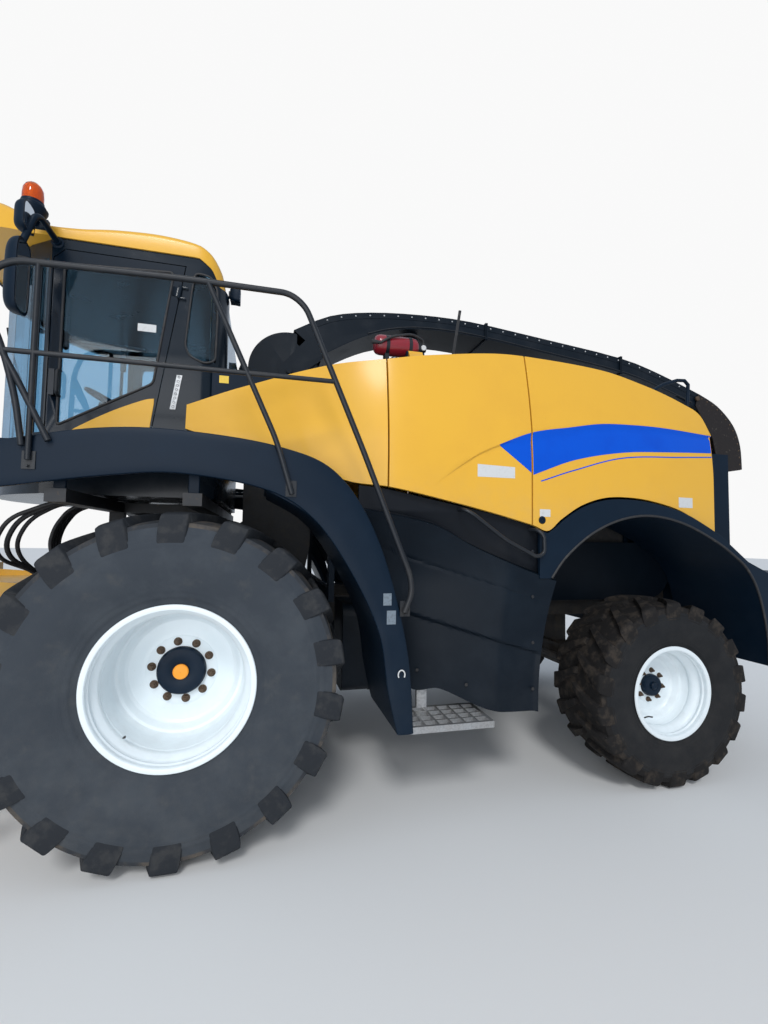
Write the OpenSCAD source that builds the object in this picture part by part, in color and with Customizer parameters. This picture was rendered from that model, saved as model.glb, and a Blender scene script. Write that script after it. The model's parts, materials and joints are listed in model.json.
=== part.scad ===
// Self-propelled forage harvester, parked on its wheels without a header.
// X points forward, Y to the machine's left and Z up, and the ground is z = 0.
// Places along X are given from the front axle and moved to the middle of the machine at the end.

/* [Machine] */
// Distance between the front and the rear axle
wheelbase = 3300; // [3260:10:3340]
// Front axle to the header face
front_reach = 1830; // [1800:10:1860]
// Front axle to the far end of the stowed spout
rear_reach = 5510; // [5460:10:5560]
// Distance between the middles of the front tyres
front_track = 2500; // [2480:10:2540]
// Distance between the middles of the rear tyres
rear_track = 2440; // [2420:10:2480]

/* [Front wheels] */
// Diameter of the front tyre over its lugs
front_tyre_d = 1853; // [1820:1:1860]
// Width of the front tyre
front_tyre_w = 800; // [760:10:820]
// Diameter of the front rim over its flange
front_rim_d = 864; // [840:2:880]
// Width of the front rim
front_rim_w = 700; // [680:5:710]
// Depth of the front wheel disc behind the outer flange
front_dish = 384; // [360:1:390]
// Lugs on each side of the front tyre
front_lugs = 18; // [16:1:20]

/* [Rear wheels] */
// Diameter of the rear tyre over its lugs
rear_tyre_d = 1312; // [1290:1:1320]
// Width of the rear tyre
rear_tyre_w = 540; // [520:10:550]
// Diameter of the rear rim over its flange
rear_rim_d = 660; // [640:2:670]
// Width of the rear rim
rear_rim_w = 490; // [480:5:500]
// Depth of the rear wheel disc behind the outer flange
rear_dish = 232; // [215:1:240]
// Lugs on each side of the rear tyre
rear_lugs = 18; // [16:1:20]
// Height of a lug on every tyre
lug_h = 46; // [40:1:50]

/* [Frame and axles] */
// Outer faces of the two frame rails
frame_w = 860; // [840:5:870]
// Thickness of a frame rail
rail_t = 100; // [80:5:110]
// Underside of the frame rails above the ground
rail_z = 1060; // [1050:5:1080]
// Height of a frame rail
rail_h = 200; // [180:5:210]
// Height of the front axle beam
front_beam_h = 260; // [240:5:280]
// Radius of a final drive at the front axle
drive_r = 240; // [220:5:250]
// Height of the rear axle beam
rear_beam_h = 190; // [180:5:200]
// Distance between the two steering pivots
kingpin_w = 1840; // [1830:5:1850]
// Radius of a steering pivot pin
kingpin_r = 35; // [30:1:38]
// Length of a track rod arm behind its pivot
arm_l = 210; // [200:5:220]

/* [Feeder] */
// Inner width of the feed opening
feed_w = 890; // [870:5:900]
// Length of a feed roll
roll_l = 850; // [830:5:860]
// Radius of the upper feed roll over its blades
upper_roll_r = 190; // [180:2:195]
// Radius of the lower feed roll over its ribs
lower_roll_r = 140; // [130:2:145]
// Width of the header frame
header_w = 1300; // [1260:10:1340]
// Radius of a header locking bore
lock_r = 20; // [16:1:24]
// Radius of the header drive shaft
drive_shaft_r = 35; // [30:1:40]

/* [Cab] */
// Width of the cab
cab_w = 2000; // [1960:10:2020]
// Top of the cab floor above the ground
cab_floor = 2020; // [2010:5:2040]
// Foremost point of the curved windscreen
cab_front = 1450; // [1420:10:1480]
// Rear wall of the cab
cab_rear = -160; // [-180:5:-150]
// Front edge of the side door
door_front = 880; // [860:5:900]
// Thickness of the cab's walls and of its door
wall = 45; // [40:1:50]
// Thickness of the cab's glass
glass_t = 8; // [6:1:10]
// Top of the roof above the ground
roof_top = 3840; // [3820:10:3860]

/* [Bodywork] */
// Width over the side panels
body_w = 2900; // [2870:10:2920]
// Highest point of the side panels' upper edge
hood_top = 3020; // [3000:5:3040]
// Seam between the front and the middle panel
seam_1 = -1190; // [-1210:5:-1170]
// Seam between the middle and the rear panel
seam_2 = -2190; // [-2210:5:-2170]
// Rear edge of the rear panel behind the rear axle
panel_tail = 480; // [470:5:490]
// Thickness of a side panel
panel_t = 34; // [30:1:40]
// Width of the gaps between panels
panel_gap = 10; // [8:1:14]
// How far the panels' upper edge leans inwards
tuck = 120; // [100:5:130]
// Rear end of the bumper behind the rear axle
bumper_tail = 1400; // [1370:10:1420]

/* [Platform] */
// Width over the front fenders
platform_w = 3160; // [3140:10:3180]
// Height of the walkway above the ground
deck_z = 2190; // [2180:5:2200]
// Thickness of the walkway and of the fender sheets
sheet = 30; // [25:1:35]
// Diameter of the handrail tube
rail_d = 34; // [30:1:38]

/* [Spout] */
// Distance from the front axle back to the turning axis of the spout
turret_x = 550; // [540:5:560]
// Top of the turntable ring above the ground
turret_z = 2950; // [2940:5:2960]
// Radius of the turntable ring
turret_r = 340; // [330:5:350]
// Width of the spout
spout_w = 400; // [380:5:410]
// Sheet thickness of the spout
spout_t = 8; // [6:1:10]
// Radius of the elbow drum that the spout folds round
elbow_r = 340; // [335:1:345]
// Radius of the spout's pivot pins
spout_pin_r = 28; // [24:1:30]

/* [Hidden] */
$fn = 48;
e = 0.3;   // running clearance between touching pieces that move
cut = 5;   // how far a cutting shape runs past a face

axle_shift = (rear_reach - front_reach) / 2;
rear_x = -wheelbase;
front_z = front_tyre_d / 2;
rear_z = rear_tyre_d / 2;
front_flange_y = front_track / 2 + front_rim_w / 2;
front_disc_y = front_flange_y - front_dish;
rear_flange_y = rear_track / 2 + rear_rim_w / 2;
rear_disc_y = rear_flange_y - rear_dish;
disc_t = 20;
drive_y = front_disc_y - 36;
hub_y = rear_disc_y - 70;
rail_y = frame_w / 2 - rail_t;
rail_top = rail_z + rail_h;
kingpin_y = kingpin_w / 2;
panel_rear = rear_x - panel_tail;
cab_y = cab_w / 2;
fender_y = platform_w / 2;

// Points of an arc about [x, y], from angle a to angle b in n steps
function arc(x, y, r, a, b, n) =
    [for (i = [0:n]) let (t = a + (b - a) * i / n) [x + r * cos(t), y + r * sin(t)]];

// Smooth line through the points p, with n steps between each two
function blend(a, b, c, d, t) =
    0.5 * (2 * b + (c - a) * t + (2 * a - 5 * b + 4 * c - d) * t * t + (3 * b - a - 3 * c + d) * t * t * t);
function through(p, n) = let (last = len(p) - 1) concat(
    [for (i = [0:last - 1], j = [0:n - 1])
        blend(p[max(i - 1, 0)], p[i], p[i + 1], p[min(i + 2, last)], j / n)],
    [p[last]]);

// Smooth height over x through a table of [x, value] whose x rises
function slot_of(t, x, i = 0) = i >= len(t) - 2 || x <= t[i + 1][0] ? i : slot_of(t, x, i + 1);
function slope(t, i) = let (a = t[max(i - 1, 0)], b = t[min(i + 1, len(t) - 1)])
    (b[1] - a[1]) / (b[0] - a[0]);
function curve(t, x) = let (
    i = slot_of(t, x),
    h = t[i + 1][0] - t[i][0],
    s = (x - t[i][0]) / h)
    t[i][1] * (1 + 2 * s) * (1 - s) * (1 - s) + t[i + 1][1] * s * s * (3 - 2 * s)
    + slope(t, i) * h * s * (1 - s) * (1 - s) - slope(t, i + 1) * h * s * s * (1 - s);

// Moves a piece from the front axle's place to the machine's middle
module at_axle() {
    translate([axle_shift, 0, 0]) children();
}

// Both sides of the machine
module both() {
    children();
    mirror([0, 1, 0]) children();
}

// An outline in X and Z, extruded from y = a to y = b
module side(a, b) {
    translate([0, b, 0]) rotate([90, 0, 0]) linear_extrude(b - a) children();
}

// An outline in Y and Z, extruded from x = a to x = b
module across(a, b) {
    translate([a, 0, 0]) rotate([90, 0, 90]) linear_extrude(b - a) children();
}

// A box from one corner to the other
module block(a, b) {
    translate(a) cube(b - a);
}

// A bent tube through the points p, as one sweep with a ring of n corners at each point;
// no stretch of it may run along up
module pipe(p, r, n = 10, up = [0, 1, 0]) {
    last = len(p) - 1;
    dir = [for (i = [0:last]) let (d = p[min(i + 1, last)] - p[max(i - 1, 0)]) d / norm(d)];
    pts = [for (i = [0:last], k = [0:n - 1])
        let (u0 = cross(dir[i], up), u = u0 / norm(u0), v = cross(u, dir[i]), a = 360 * k / n)
        p[i] + r * (cos(a) * u + sin(a) * v)];
    walls = [for (i = [0:last - 1], k = [0:n - 1]) let (a = i * n + k, b = i * n + (k + 1) % n)
        each [[a, b, b + n], [a, b + n, a + n]]];
    polyhedron(pts, concat(walls, [[for (k = [0:n - 1]) n - 1 - k]],
        [[for (k = [0:n - 1]) last * n + k]]));
}

// A disc or shaft that lies along Y, from y = a to y = b
module axle_bar(x, z, r, a, b) {
    translate([x, b, z]) rotate([90, 0, 0]) cylinder(h = b - a, r = r);
}

// A sheet of thickness t over the side of the machine: its outer face is at y = face(x, z),
// between the heights low(x) and high(x)
module skin(x0, x1, nx, nz, t, low, high, face) {
    n = (nx + 1) * (nz + 1);
    pts = [for (s = [0:1], i = [0:nx], j = [0:nz])
        let (x = x0 + (x1 - x0) * i / nx, z = low(x) + (high(x) - low(x)) * j / nz)
        [x, face(x, z) - s * t, z]];
    outer = [for (i = [0:nx - 1], j = [0:nz - 1]) let (a = i * (nz + 1) + j)
        [a, a + nz + 1, a + nz + 2, a + 1]];
    inner = [for (q = outer) [q[0] + n, q[3] + n, q[2] + n, q[1] + n]];
    ends = [for (i = [0:nx - 1]) let (a = i * (nz + 1), b = a + nz + 1)
        each [[b, a, a + n, b + n], [a + nz, b + nz, b + nz + n, a + nz + n]]];
    sides = [for (j = [0:nz - 1]) let (a = j, b = nx * (nz + 1) + j)
        each [[a, a + 1, a + 1 + n, a + n], [b + 1, b, b + n, b + 1 + n]]];
    quads = concat(outer, inner, ends, sides);
    polyhedron(pts, [for (q = quads) each [[q[0], q[1], q[2]], [q[0], q[2], q[3]]]]);
}

// Tyres and rims

// Half outline of a tyre: radius over the distance from its middle
function tyre_half(d, w, rim_d, rim_w) = let (
    crown = d / 2 - lug_h, bead = rim_d / 2 - 20, flange = rim_d / 2 + 1, foot = rim_w / 2 - 14,
    shoulder = 0.46 * w, edge = crown - 0.045 * d, swell = w / 2 - (foot + shoulder) / 2)
    concat(
        [[bead, foot]],
        [for (i = [0:5]) let (t = i / 6)
            [flange + t * (edge - flange), foot + t * (shoulder - foot) + swell * sin(180 * t)]],
        [for (i = [0:2]) let (y = shoulder * (1 - i / 3)) [crown - (crown - edge) * pow(y / shoulder,
            2), y]]);

module tyre(d, w, rim_d, rim_w, lugs) {
    half = tyre_half(d, w, rim_d, rim_w);
    last = len(half) - 1;
    other = [for (i = [0:last]) [half[last - i][0], -half[last - i][1]]];
    crown = d / 2 - lug_h;
    color("dimgray") rotate([90, 0, 0]) {
        rotate_extrude($fn = 48) polygon(concat(half, [[crown, 0]], other));
        for (i = [0:lugs - 1], s = [-1, 1])
            rotate(360 * i / lugs - 90 + (s > 0 ? 0 : 180 / lugs)) lug(d, w, lugs, s);
    }
}

// One lug: a slanting bar from the middle of the tread over the shoulder
module lug(d, w, lugs, s) {
    pitch = 360 / lugs;
    deep = lug_h + 30;
    // stations: distance from the middle, outer radius, angle, half thickness
    st = [
        [-0.02 * w, d / 2, 0.62 * pitch, 26],
        [0.25 * w, d / 2 - 3, 0.28 * pitch, 32],
        [0.475 * w, d / 2 - 22, 0, 46],
        [0.492 * w, d / 2 - 0.085 * d, -0.06 * pitch, 42]
    ];
    pts = [for (q = st, k = [[1, -1], [1, 1], [0, 1], [0, -1]])
        let (r = q[1] - (1 - k[0]) * (q == st[3] ? 60 : deep), a = q[2] + k[1] * q[3] / q[1] * 180 / PI)
        [r * cos(a), r * sin(a), s * q[0]]];
    quads = concat(
        [for (i = [0:2], k = [0:3]) let (a = i * 4 + k, b = i * 4 + (k + 1) % 4) [a, b, b + 4, a + 4]],
        [[3, 2, 1, 0], [12, 13, 14, 15]]);
    tris = [for (q = quads) each [[q[0], q[1], q[2]], [q[0], q[2], q[3]]]];
    polyhedron(pts, s > 0 ? [for (f = tris) [f[2], f[1], f[0]]] : tris);
}

// A rim: y runs outwards from the wheel's middle, disc at y = disc
module rim(rim_d, rim_w, disc, hub_r, hub_in, cap_r, cap_h) {
    bead = rim_d / 2 - 20.5;
    lip = 13.5;
    t = 12;
    h = rim_w / 2;
    well = bead - 34;
    color("white") rotate([-90, 0, 0]) {
        rotate_extrude($fn = 64) polygon([
            [rim_d / 2, -h], [rim_d / 2, -h + lip], [bead, -h + lip], [bead, -0.2 * h], [bead, h - lip],
            [rim_d / 2, h - lip], [rim_d / 2, h], [bead - t, h], [bead - t, h - 60],
            [well - t, h - 100], [well - t, disc + 90], [well - 40, disc + 60],
            [well - 70, disc], [hub_r, disc], [hub_r, disc - disc_t], [well - 60, disc - disc_t],
            [well - t, disc + 20], [well - t, -h + 100], [bead - t, -h + 60], [bead - t, -h]
        ]);
        translate([0, 0, hub_in]) cylinder(h = disc - hub_in, r = hub_r + 1);
        translate([0, 0, disc - disc_t]) cylinder(h = disc_t + cap_h, r = cap_r);
        translate([0, 0, disc + cap_h - 1]) cylinder(h = 16, r = cap_r / 3);
    }
}

module front_tyre_left() {
    at_axle() translate([0, front_track / 2, front_z])
        tyre(front_tyre_d, front_tyre_w, front_rim_d, front_rim_w, front_lugs);
}

module front_tyre_right() {
    mirror([0, 1, 0]) front_tyre_left();
}

module front_rim_left() {
    mid = front_flange_y - front_rim_w / 2;
    at_axle() translate([0, mid, front_z])
        rim(front_rim_d, front_rim_w, front_disc_y - mid, 200, drive_y + e - mid, 139, 50);
}

module front_rim_right() {
    mirror([0, 1, 0]) front_rim_left();
}

module rear_tyre_left() {
    at_axle() translate([rear_x, rear_track / 2, rear_z])
        tyre(rear_tyre_d, rear_tyre_w, rear_rim_d, rear_rim_w, rear_lugs);
}

module rear_tyre_right() {
    mirror([0, 1, 0]) rear_tyre_left();
}

module rear_rim_left() {
    mid = rear_flange_y - rear_rim_w / 2;
    at_axle() translate([rear_x, mid, rear_z])
        rim(rear_rim_d, rear_rim_w, rear_disc_y - mid, 130, hub_y + e - mid, 82, 46);
}

module rear_rim_right() {
    mirror([0, 1, 0]) rear_rim_left();
}

// Chassis

pivot_w = 240;
outrigger_h = 72;
outrigger_top = rail_top + outrigger_h;
outriggers = [-1500, rear_x + 1040];
carriers = [-60, 600];
carrier_z = cab_floor - 140;
carrier_h = 70;
tail_x = rear_x - bumper_tail;
tail_t = 40;
hitch_r = 16;

module frame() {
    color("darkslategray") at_axle() {
        both() block([tail_x + 420, rail_y, rail_z], [150, rail_y + rail_t, rail_top]);
        // cross members between the rails
        for (x = [-1000, -1700, -2330, rear_x, rear_x - 700])
            block([x - 60, -rail_y - 10, rail_z + 20], [x + 60, rail_y + 10, rail_top - 20]);
        // bracket that carries the rear axle's centre
        block([rear_x - 60, -pivot_w / 2, rear_z + rear_beam_h / 2], [rear_x + 60, pivot_w / 2,
            rail_z + 21]);
        // outriggers that carry the skirts and the rear fenders
        both() for (x = outriggers) block([x - 40, 0, rail_top - 1],
            [x + 40, skirt_face(x + 40, rail_top) - skirt_t - e, outrigger_top]);
        // carriers of the cab and the platform
        for (x = carriers) {
            both() block([x - 50, rail_y + 30, x < 150 ? rail_top - 1 : drum_z + drum_r + e],
                [x + 50, rail_y + 90, carrier_z + 1]);
            block([x - 50, -fender_y + 60, carrier_z], [x + 50, fender_y - 60, carrier_z + carrier_h]);
        }
        both() block([carriers[0], rail_y + 30, carrier_z], [carriers[1], rail_y + 90,
            carrier_z + carrier_h]);
        hitch();
    }
}

// Cross plate at the frame's tail with the towing clevis
module hitch() {
    x = tail_x;
    block([x + tail_t, -rail_y - 50, rail_z + 20], [x + 425, rail_y + 50, rail_z + 100]);
    difference() {
        union() {
            block([x - 150, -70, 820], [x + 60, 70, 845]);
            block([x - 150, -70, 925], [x + 60, 70, 950]);
            block([x, -70, 820], [x + 60, 70, rail_z + 100]);
        }
        translate([x - 95, 0, 800]) cylinder(h = 200, r = hitch_r);
    }
}

module front_axle() {
    color("darkslategray") at_axle() {
        both() {
            block([-130, -1, rail_z - front_beam_h], [130, 700, rail_z]);
            axle_bar(0, front_z, drive_r, 690, drive_y - 60);
            axle_bar(0, front_z, drive_r - 45, drive_y - 61, drive_y);
            block([-110, 640, rail_z - 330], [110, 760, rail_z + 20]);
        }
    }
}

module rear_axle() {
    y = kingpin_y;
    color("darkslategray") at_axle() difference() {
        union() {
            block([rear_x - 90, -y + 229, rear_z - rear_beam_h / 2],
                [rear_x + 90, y - 229, rear_z + rear_beam_h / 2]);
            both() for (z = [rear_z - 150, rear_z + 110]) {
                block([rear_x - 70, y - 230, z], [rear_x + 70, y, z + 40]);
                translate([rear_x, y, z]) cylinder(h = 40, r = 70);
            }
            both() block([rear_x - 70, y - 230, rear_z - 150], [rear_x + 70, y - 175, rear_z + 150]);
            // eye that carries the steering cylinder
            block([rear_x + 60, -40, rear_z - 60], [rear_x + 230, 40, rear_z - 30]);
        }
        both() translate([rear_x, y, rear_z - 200]) cylinder(h = 400, r = kingpin_r + 0.05);
        both() block([rear_x - 150, y - 175, rear_z - 110], [rear_x + 150, y + 200, rear_z + 110]);
        translate([rear_x + 190, 0, rear_z - 100]) cylinder(h = 100, r = 16.05);
    }
}

module knuckle_left() {
    y = kingpin_y;
    color("dimgray") at_axle() {
        translate([rear_x, y, rear_z - 110 + e]) cylinder(h = 220 - 2 * e, r = 66);
        translate([rear_x, y, rear_z - 165]) cylinder(h = 330, r = kingpin_r);
        axle_bar(rear_x, rear_z, 62, y, hub_y - 40);
        axle_bar(rear_x, rear_z, 110, hub_y - 41, hub_y);
        // arm behind the pivot for the track rod, arm ahead of it for the cylinder
        block([rear_x - arm_l - 35, y - 35, rear_z - 15], [rear_x, y + 35, rear_z + 15]);
        translate([rear_x - arm_l, y, rear_z + 14]) cylinder(h = 50, r = 15);
        block([rear_x, y - 35, rear_z - 15], [rear_x + arm_l + 30, y + 35, rear_z + 15]);
    }
}

module knuckle_right() {
    mirror([0, 1, 0]) difference() {
        knuckle_left();
        at_axle() block([rear_x + 80, kingpin_y - 50, rear_z - 50],
            [rear_x + arm_l + 50, kingpin_y + 50, rear_z + 50]);
    }
}

module track_rod() {
    y = kingpin_y;
    z = rear_z + 15 + e + 20;
    color("silver") at_axle() difference() {
        union() {
            axle_bar(rear_x - arm_l, z, 17, -y + 20, y - 20);
            both() translate([rear_x - arm_l, y, z - 20]) cylinder(h = 40, r = 34);
        }
        both() translate([rear_x - arm_l, y, z - 50]) cylinder(h = 100, r = 15.05);
    }
}

module steering_barrel() {
    z = rear_z;
    x = rear_x + 190;
    color("dimgray") at_axle() {
        difference() {
            union() {
                translate([x, 0, z - 30 + e]) cylinder(h = 60 - e, r = 36);
                axle_bar(x, z, 38, 41, 470);
                axle_bar(x, z, 28, 20, 60);
            }
            axle_bar(x, z, 20.05, 60, 480);
        }
        translate([x, 0, z - 70]) cylinder(h = 80, r = 16);
    }
}

module steering_piston() {
    z = rear_z;
    x = rear_x + 190;
    y = kingpin_y;
    color("silver") at_axle() {
        axle_bar(x, z, 20, 240, y - 60);
        axle_bar(x, z + 14, 14, y - 61, y - 60);
        block([x - 20, y - 90, z - 20], [x + 20, y - 60, z + 60]);
        block([x - 30, y - 61, z + 22], [x + 30, y + 30, z + 60]);
    }
}

// Chopping unit and its crop channel up to the spout
drum_x = 550;
drum_z = 1050;
drum_r = 400;
drum_w = 960;
coupling_x = 880;
coupling_z = 1500;

module chopper_housing() {
    neck = 270;
    color("dimgray") at_axle() {
        axle_bar(drum_x, drum_z, drum_r, -drum_w / 2, drum_w / 2);
        side(-drum_w / 2, drum_w / 2) polygon([
            [150, rail_z], [drum_x, rail_z - 200], [drum_x, rail_top + 150], [150, rail_top]]);
        side(-310, 310) polygon([
            [350, 1180], [-60, 1120], [-turret_x - neck + 60, 1330], [-turret_x - neck, 1650],
            [-turret_x - neck, turret_z - 70], [-turret_x + neck, turret_z - 70],
            [-turret_x + neck, 1840], [0, 1620], [350, 1440]]);
        translate([-turret_x, 0, turret_z - 71]) cylinder(h = 71, r = turret_r);
        // shaft that the feeder swings on
        axle_bar(drum_x, drum_z, 45, -drum_w / 2 - 40, drum_w / 2 + 40);
        // lugs and pins of the feeder's lift cylinders
        both() {
            side(drum_w / 2 - 60, drum_w / 2 - 1) polygon([
                [drum_x - 380, drum_z - 100], lift_a + [-60, -10], lift_a + [0, -50], lift_a + [60, -10],
                [drum_x - 100, drum_z - 380]]);
            axle_bar(lift_a[0], lift_a[1], 25, drum_w / 2 - 2, lift_y + 34);
        }
        // bracket and block of the header's hose couplings
        block([640, drum_w / 2 - 50, drum_z + 345], [coupling_x + 30, 780, drum_z + 375]);
        block([coupling_x - 30, 570, drum_z + 374], [coupling_x + 30, 770, coupling_z]);
    }
}

engine_half = 520;
module engine() {
    color("gray") at_axle() {
        block([rear_x - 400, -engine_half, rail_top + 80], [rear_x + 900, engine_half, 2380]);
        both() for (x = [rear_x - 300, rear_x + 780])
            block([x - 60, rail_y + 20, rail_top], [x + 60, rail_y + 80, rail_top + 80]);
    }
}

// Fuel tanks: one behind each front wheel, and one beside the engine over each rear wheel
tank_front = -1020;
tank_rear = -2100;
tank_low = 610;
tank_out = 860;
strap_t = 4;
saddle_out = 600;
saddle_z = 1465;
saddle_r = 255;

module tank_outline(grow) {
    k = 90;
    y0 = frame_w / 2 + e;
    y1 = tank_out + grow - k;
    z0 = tank_low - grow;
    z1 = rail_top - 15 + grow;
    polygon(concat(arc(y1, z0 + k, k, -90, 0, 6), arc(y1, z1 - k, k, 0, 90, 6), [[y0, z1], [y0, z0]]));
}

module fuel_tanks() {
    color([0.1, 0.1, 0.12]) at_axle() both() {
        across(tank_rear, tank_front) tank_outline(0);
        for (x = [tank_rear + 200, tank_front - 250]) across(x, x + 50) tank_outline(strap_t);
        side(engine_half + e, saddle_out) polygon(concat(
            [[rear_x + 760, saddle_z - saddle_r], [rear_x + 760, saddle_z + saddle_r]],
            arc(rear_x - 580, saddle_z, saddle_r, 90, 270, 12)));
        // brackets on the rails
        for (x = [rear_x - 300, rear_x + 500])
            block([x - 35, frame_w / 2 + e, saddle_z - saddle_r - 50],
                [x + 35, saddle_out - 20, saddle_z - saddle_r + 1]);
    }
}

// Cab

// Plan of the cab, drawn inwards by a distance
screen_half = cab_y - 20;
screen_sag = cab_front - door_front;
screen_r = (screen_half * screen_half + screen_sag * screen_sag) / (2 * screen_sag);
function cab_plan(inset) = let (
    r = screen_r - inset, y = cab_y - inset, a = asin((screen_half - inset) / r), k = 150 - inset)
    concat(
        arc(cab_front - screen_r, 0, r, -a, a, 12),
        [[door_front, y]],
        arc(cab_rear + 150, y - k, k, 90, 180, 4),
        arc(cab_rear + 150, -y + k, k, 180, 270, 4),
        [[door_front, -y]]);

// The rear jamb of the door leans back as it rises
jamb_lean = 0.1525;
function jamb(z) = 270 - jamb_lean * (z - 2420);
door_low = deck_z + 45;
door_high = 3490;
belt_z = 2860;
door_outline = [
    [jamb(door_low), door_low], [door_front - 15, door_low], [door_front - 15, door_high - 60],
    [door_front - 75, door_high], [jamb(door_high), door_high]];
door_pane = [
    [jamb(2700) + 45, 2690], [door_front - 75, 2380], [door_front - 75, door_high - 90],
    [jamb(door_high - 50) + 60, door_high - 50]];
quarter_pane = [[90, 2960], [60, 2895], [-30, 2855], [-100, 2875], [-105, 3160], [-98, 3360], [-60, 3440],
    [-10, 3455], [44, 3455], [60, 3340]];

// Door hinges: pins outside the wall, along the slanted jamb
door_hinge_out = 12;
door_hinges = [-110, 900];
door_pin_r = 6;
module at_door_hinge(s) {
    translate([jamb(2420), cab_y + door_hinge_out, 2420]) rotate([0, -atan(jamb_lean), 0])
        translate([0, 0, s]) children();
}
module door_hinge_ears() {
    for (s = door_hinges) at_door_hinge(s) {
        translate([0, 0, -43]) cylinder(h = 86, r = door_pin_r);
        for (z = [-43, 31]) {
            translate([0, 0, z]) cylinder(h = 12, r = 11);
            block([-45, -door_hinge_out - 1, z], [-5, 0, z + 12]);
        }
    }
}
module door_hinge_knuckles() {
    for (s = door_hinges) at_door_hinge(s) difference() {
        union() {
            translate([0, 0, -30]) cylinder(h = 60, r = 11);
            block([0, -door_hinge_out - 1, -30], [45, -door_hinge_out + 6, 30]);
        }
        translate([0, 0, -40]) cylinder(h = 80, r = door_pin_r + 0.05);
    }
}

// Every window hole of the cab shell, each grown by a distance
module cab_windows(g) {
    far = cab_y + 50;
    // windscreen
    block([door_front + 75 - g, -cab_y + 90 - g, 2200 - g], [cab_front + 50, cab_y - 90 + g, 3440 + g]);
    // front quarter beside the windscreen, on both sides
    both() block([door_front + 30 - g, cab_y - 200, 2340 - g], [door_front + 76, far, 3440 + g]);
    // rear window
    block([cab_rear - 50, -760 - g, belt_z + 40 - g], [cab_rear + 100, 760 + g, 3400 + g]);
    // rear quarter windows
    both() side(cab_y - 160, far) offset(delta = g) polygon(quarter_pane);
    // right side window
    mirror([0, 1, 0]) side(cab_y - 120, far) offset(delta = g) polygon(door_pane);
}

module cab_shell() {
    ceiling = 3470;
    color("darkslategray") at_axle() {
        difference() {
            translate([0, 0, cab_floor - 60]) linear_extrude(3560 - cab_floor + 60) polygon(cab_plan(0));
            translate([0, 0, cab_floor]) linear_extrude(ceiling - cab_floor) polygon(cab_plan(wall));
            cab_windows(0);
            side(cab_y - 140, cab_y + 50) offset(delta = 6) polygon(door_outline);
            // the roof curves down at the back
            side(-cab_y - 50, cab_y + 50) polygon(
                [[-400, 3400], [-110, 3400], [-60, 3500], [30, 3570], [30, 3800], [-400, 3800]]);
        }
        door_hinge_ears();
        // rubber mounts
        both() for (x = carriers)
            translate([x, 560, carrier_z + carrier_h]) cylinder(h = 12, r = 40);
    }
}

module cab_glass() {
    color([0.5, 0.7, 0.8, 0.4]) at_axle() intersection() {
        translate([0, 0, 2100]) linear_extrude(1400) difference() {
            polygon(cab_plan(12));
            polygon(cab_plan(12 + glass_t));
        }
        cab_windows(-0.4);
    }
}

module cab_door() {
    y = cab_y;
    color("darkslategray") at_axle() {
        difference() {
            side(y - wall + 5, y) polygon(door_outline);
            side(y - wall - 50, y + 50) polygon(door_pane);
        }
        door_hinge_knuckles();
        // handle
        block([door_front - 60, y - 1, 2560], [door_front - 30, y + 30, 2720]);
    }
}

module door_glass() {
    y = cab_y - 12;
    color([0.5, 0.7, 0.8, 0.4]) at_axle()
        side(y - glass_t, y) offset(delta = -0.4) polygon(door_pane);
}

// Roof outline seen from the side, and its underside
module roof_side() {
    top = through([[-140, 3400], [-110, 3560], [10, 3675], [250, 3715], [520, 3700], [760, 3660],
        [960, 3665], [1200, roof_top - 45], [1420, roof_top], [1640, roof_top - 50]], 4);
    under = [roof_nose, roof_lip, [1010, 3561], [31, 3561], [31, 3571], [-61, 3501],
        [-111, 3401]];
    polygon(concat(top, under));
}

module cab_roof() {
    reach = 1650;
    color("gold") at_axle() intersection() {
        side(-cab_y - 15, cab_y + 15) roof_side();
        translate([0, 0, 3300]) linear_extrude(700) polygon(concat(
            arc(reach - 700, -cab_y + 690, 700, -90, 0, 6), arc(reach - 700, cab_y - 690, 700, 0, 90, 6),
            arc(cab_rear + 175, cab_y - 160, 175, 90, 180, 4),
            arc(cab_rear + 175, -cab_y + 160, 175, 180, 270, 4)));
    }
}

module seat() {
    x = 330;
    f = cab_floor;
    color("dimgray") at_axle() {
        block([x - 200, -180, f], [x + 200, 180, f + 120]);
        block([x - 120, -140, f + 119], [x + 120, 140, f + 330]);
        block([x - 240, -250, f + 329], [x + 270, 250, f + 450]);
        side(-240, 240) polygon([[x - 240, f + 440], [x - 110, f + 440], [x - 220, f + 1050], [x - 330,
            f + 1050]]);
        both() block([x - 200, 270, f + 560], [x + 150, 350, f + 620]);
        both() block([x - 230, 230, f + 500], [x - 150, 300, f + 600]);
    }
}

module controls() {
    f = cab_floor;
    color("black") at_axle() {
        // steering column and wheel
        side(-60, 60) polygon([[980, f], [1080, f], [860, f + 760], [790, f + 740]]);
        translate([800, 0, f + 770]) rotate([0, -28, 0]) {
            rotate_extrude() translate([190, 0]) circle(15, $fn = 16);
            for (a = [90, 210, 330]) rotate(a) translate([0, -16, -8]) cube([190, 32, 16]);
            translate([0, 0, -40]) cylinder(h = 60, r = 50);
        }
        // console with the drive lever and the screen
        block([200, -560, f], [700, -420, f + 600]);
        block([620, -520, f + 599], [660, -480, f + 800]);
        translate([640, -500, f + 800]) sphere(40);
        block([700, -640, f + 700], [740, -400, f + 900]);
        block([690, -520, f + 500], [712, -470, f + 900]);
    }
}

// Platform, fenders and rails

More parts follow.
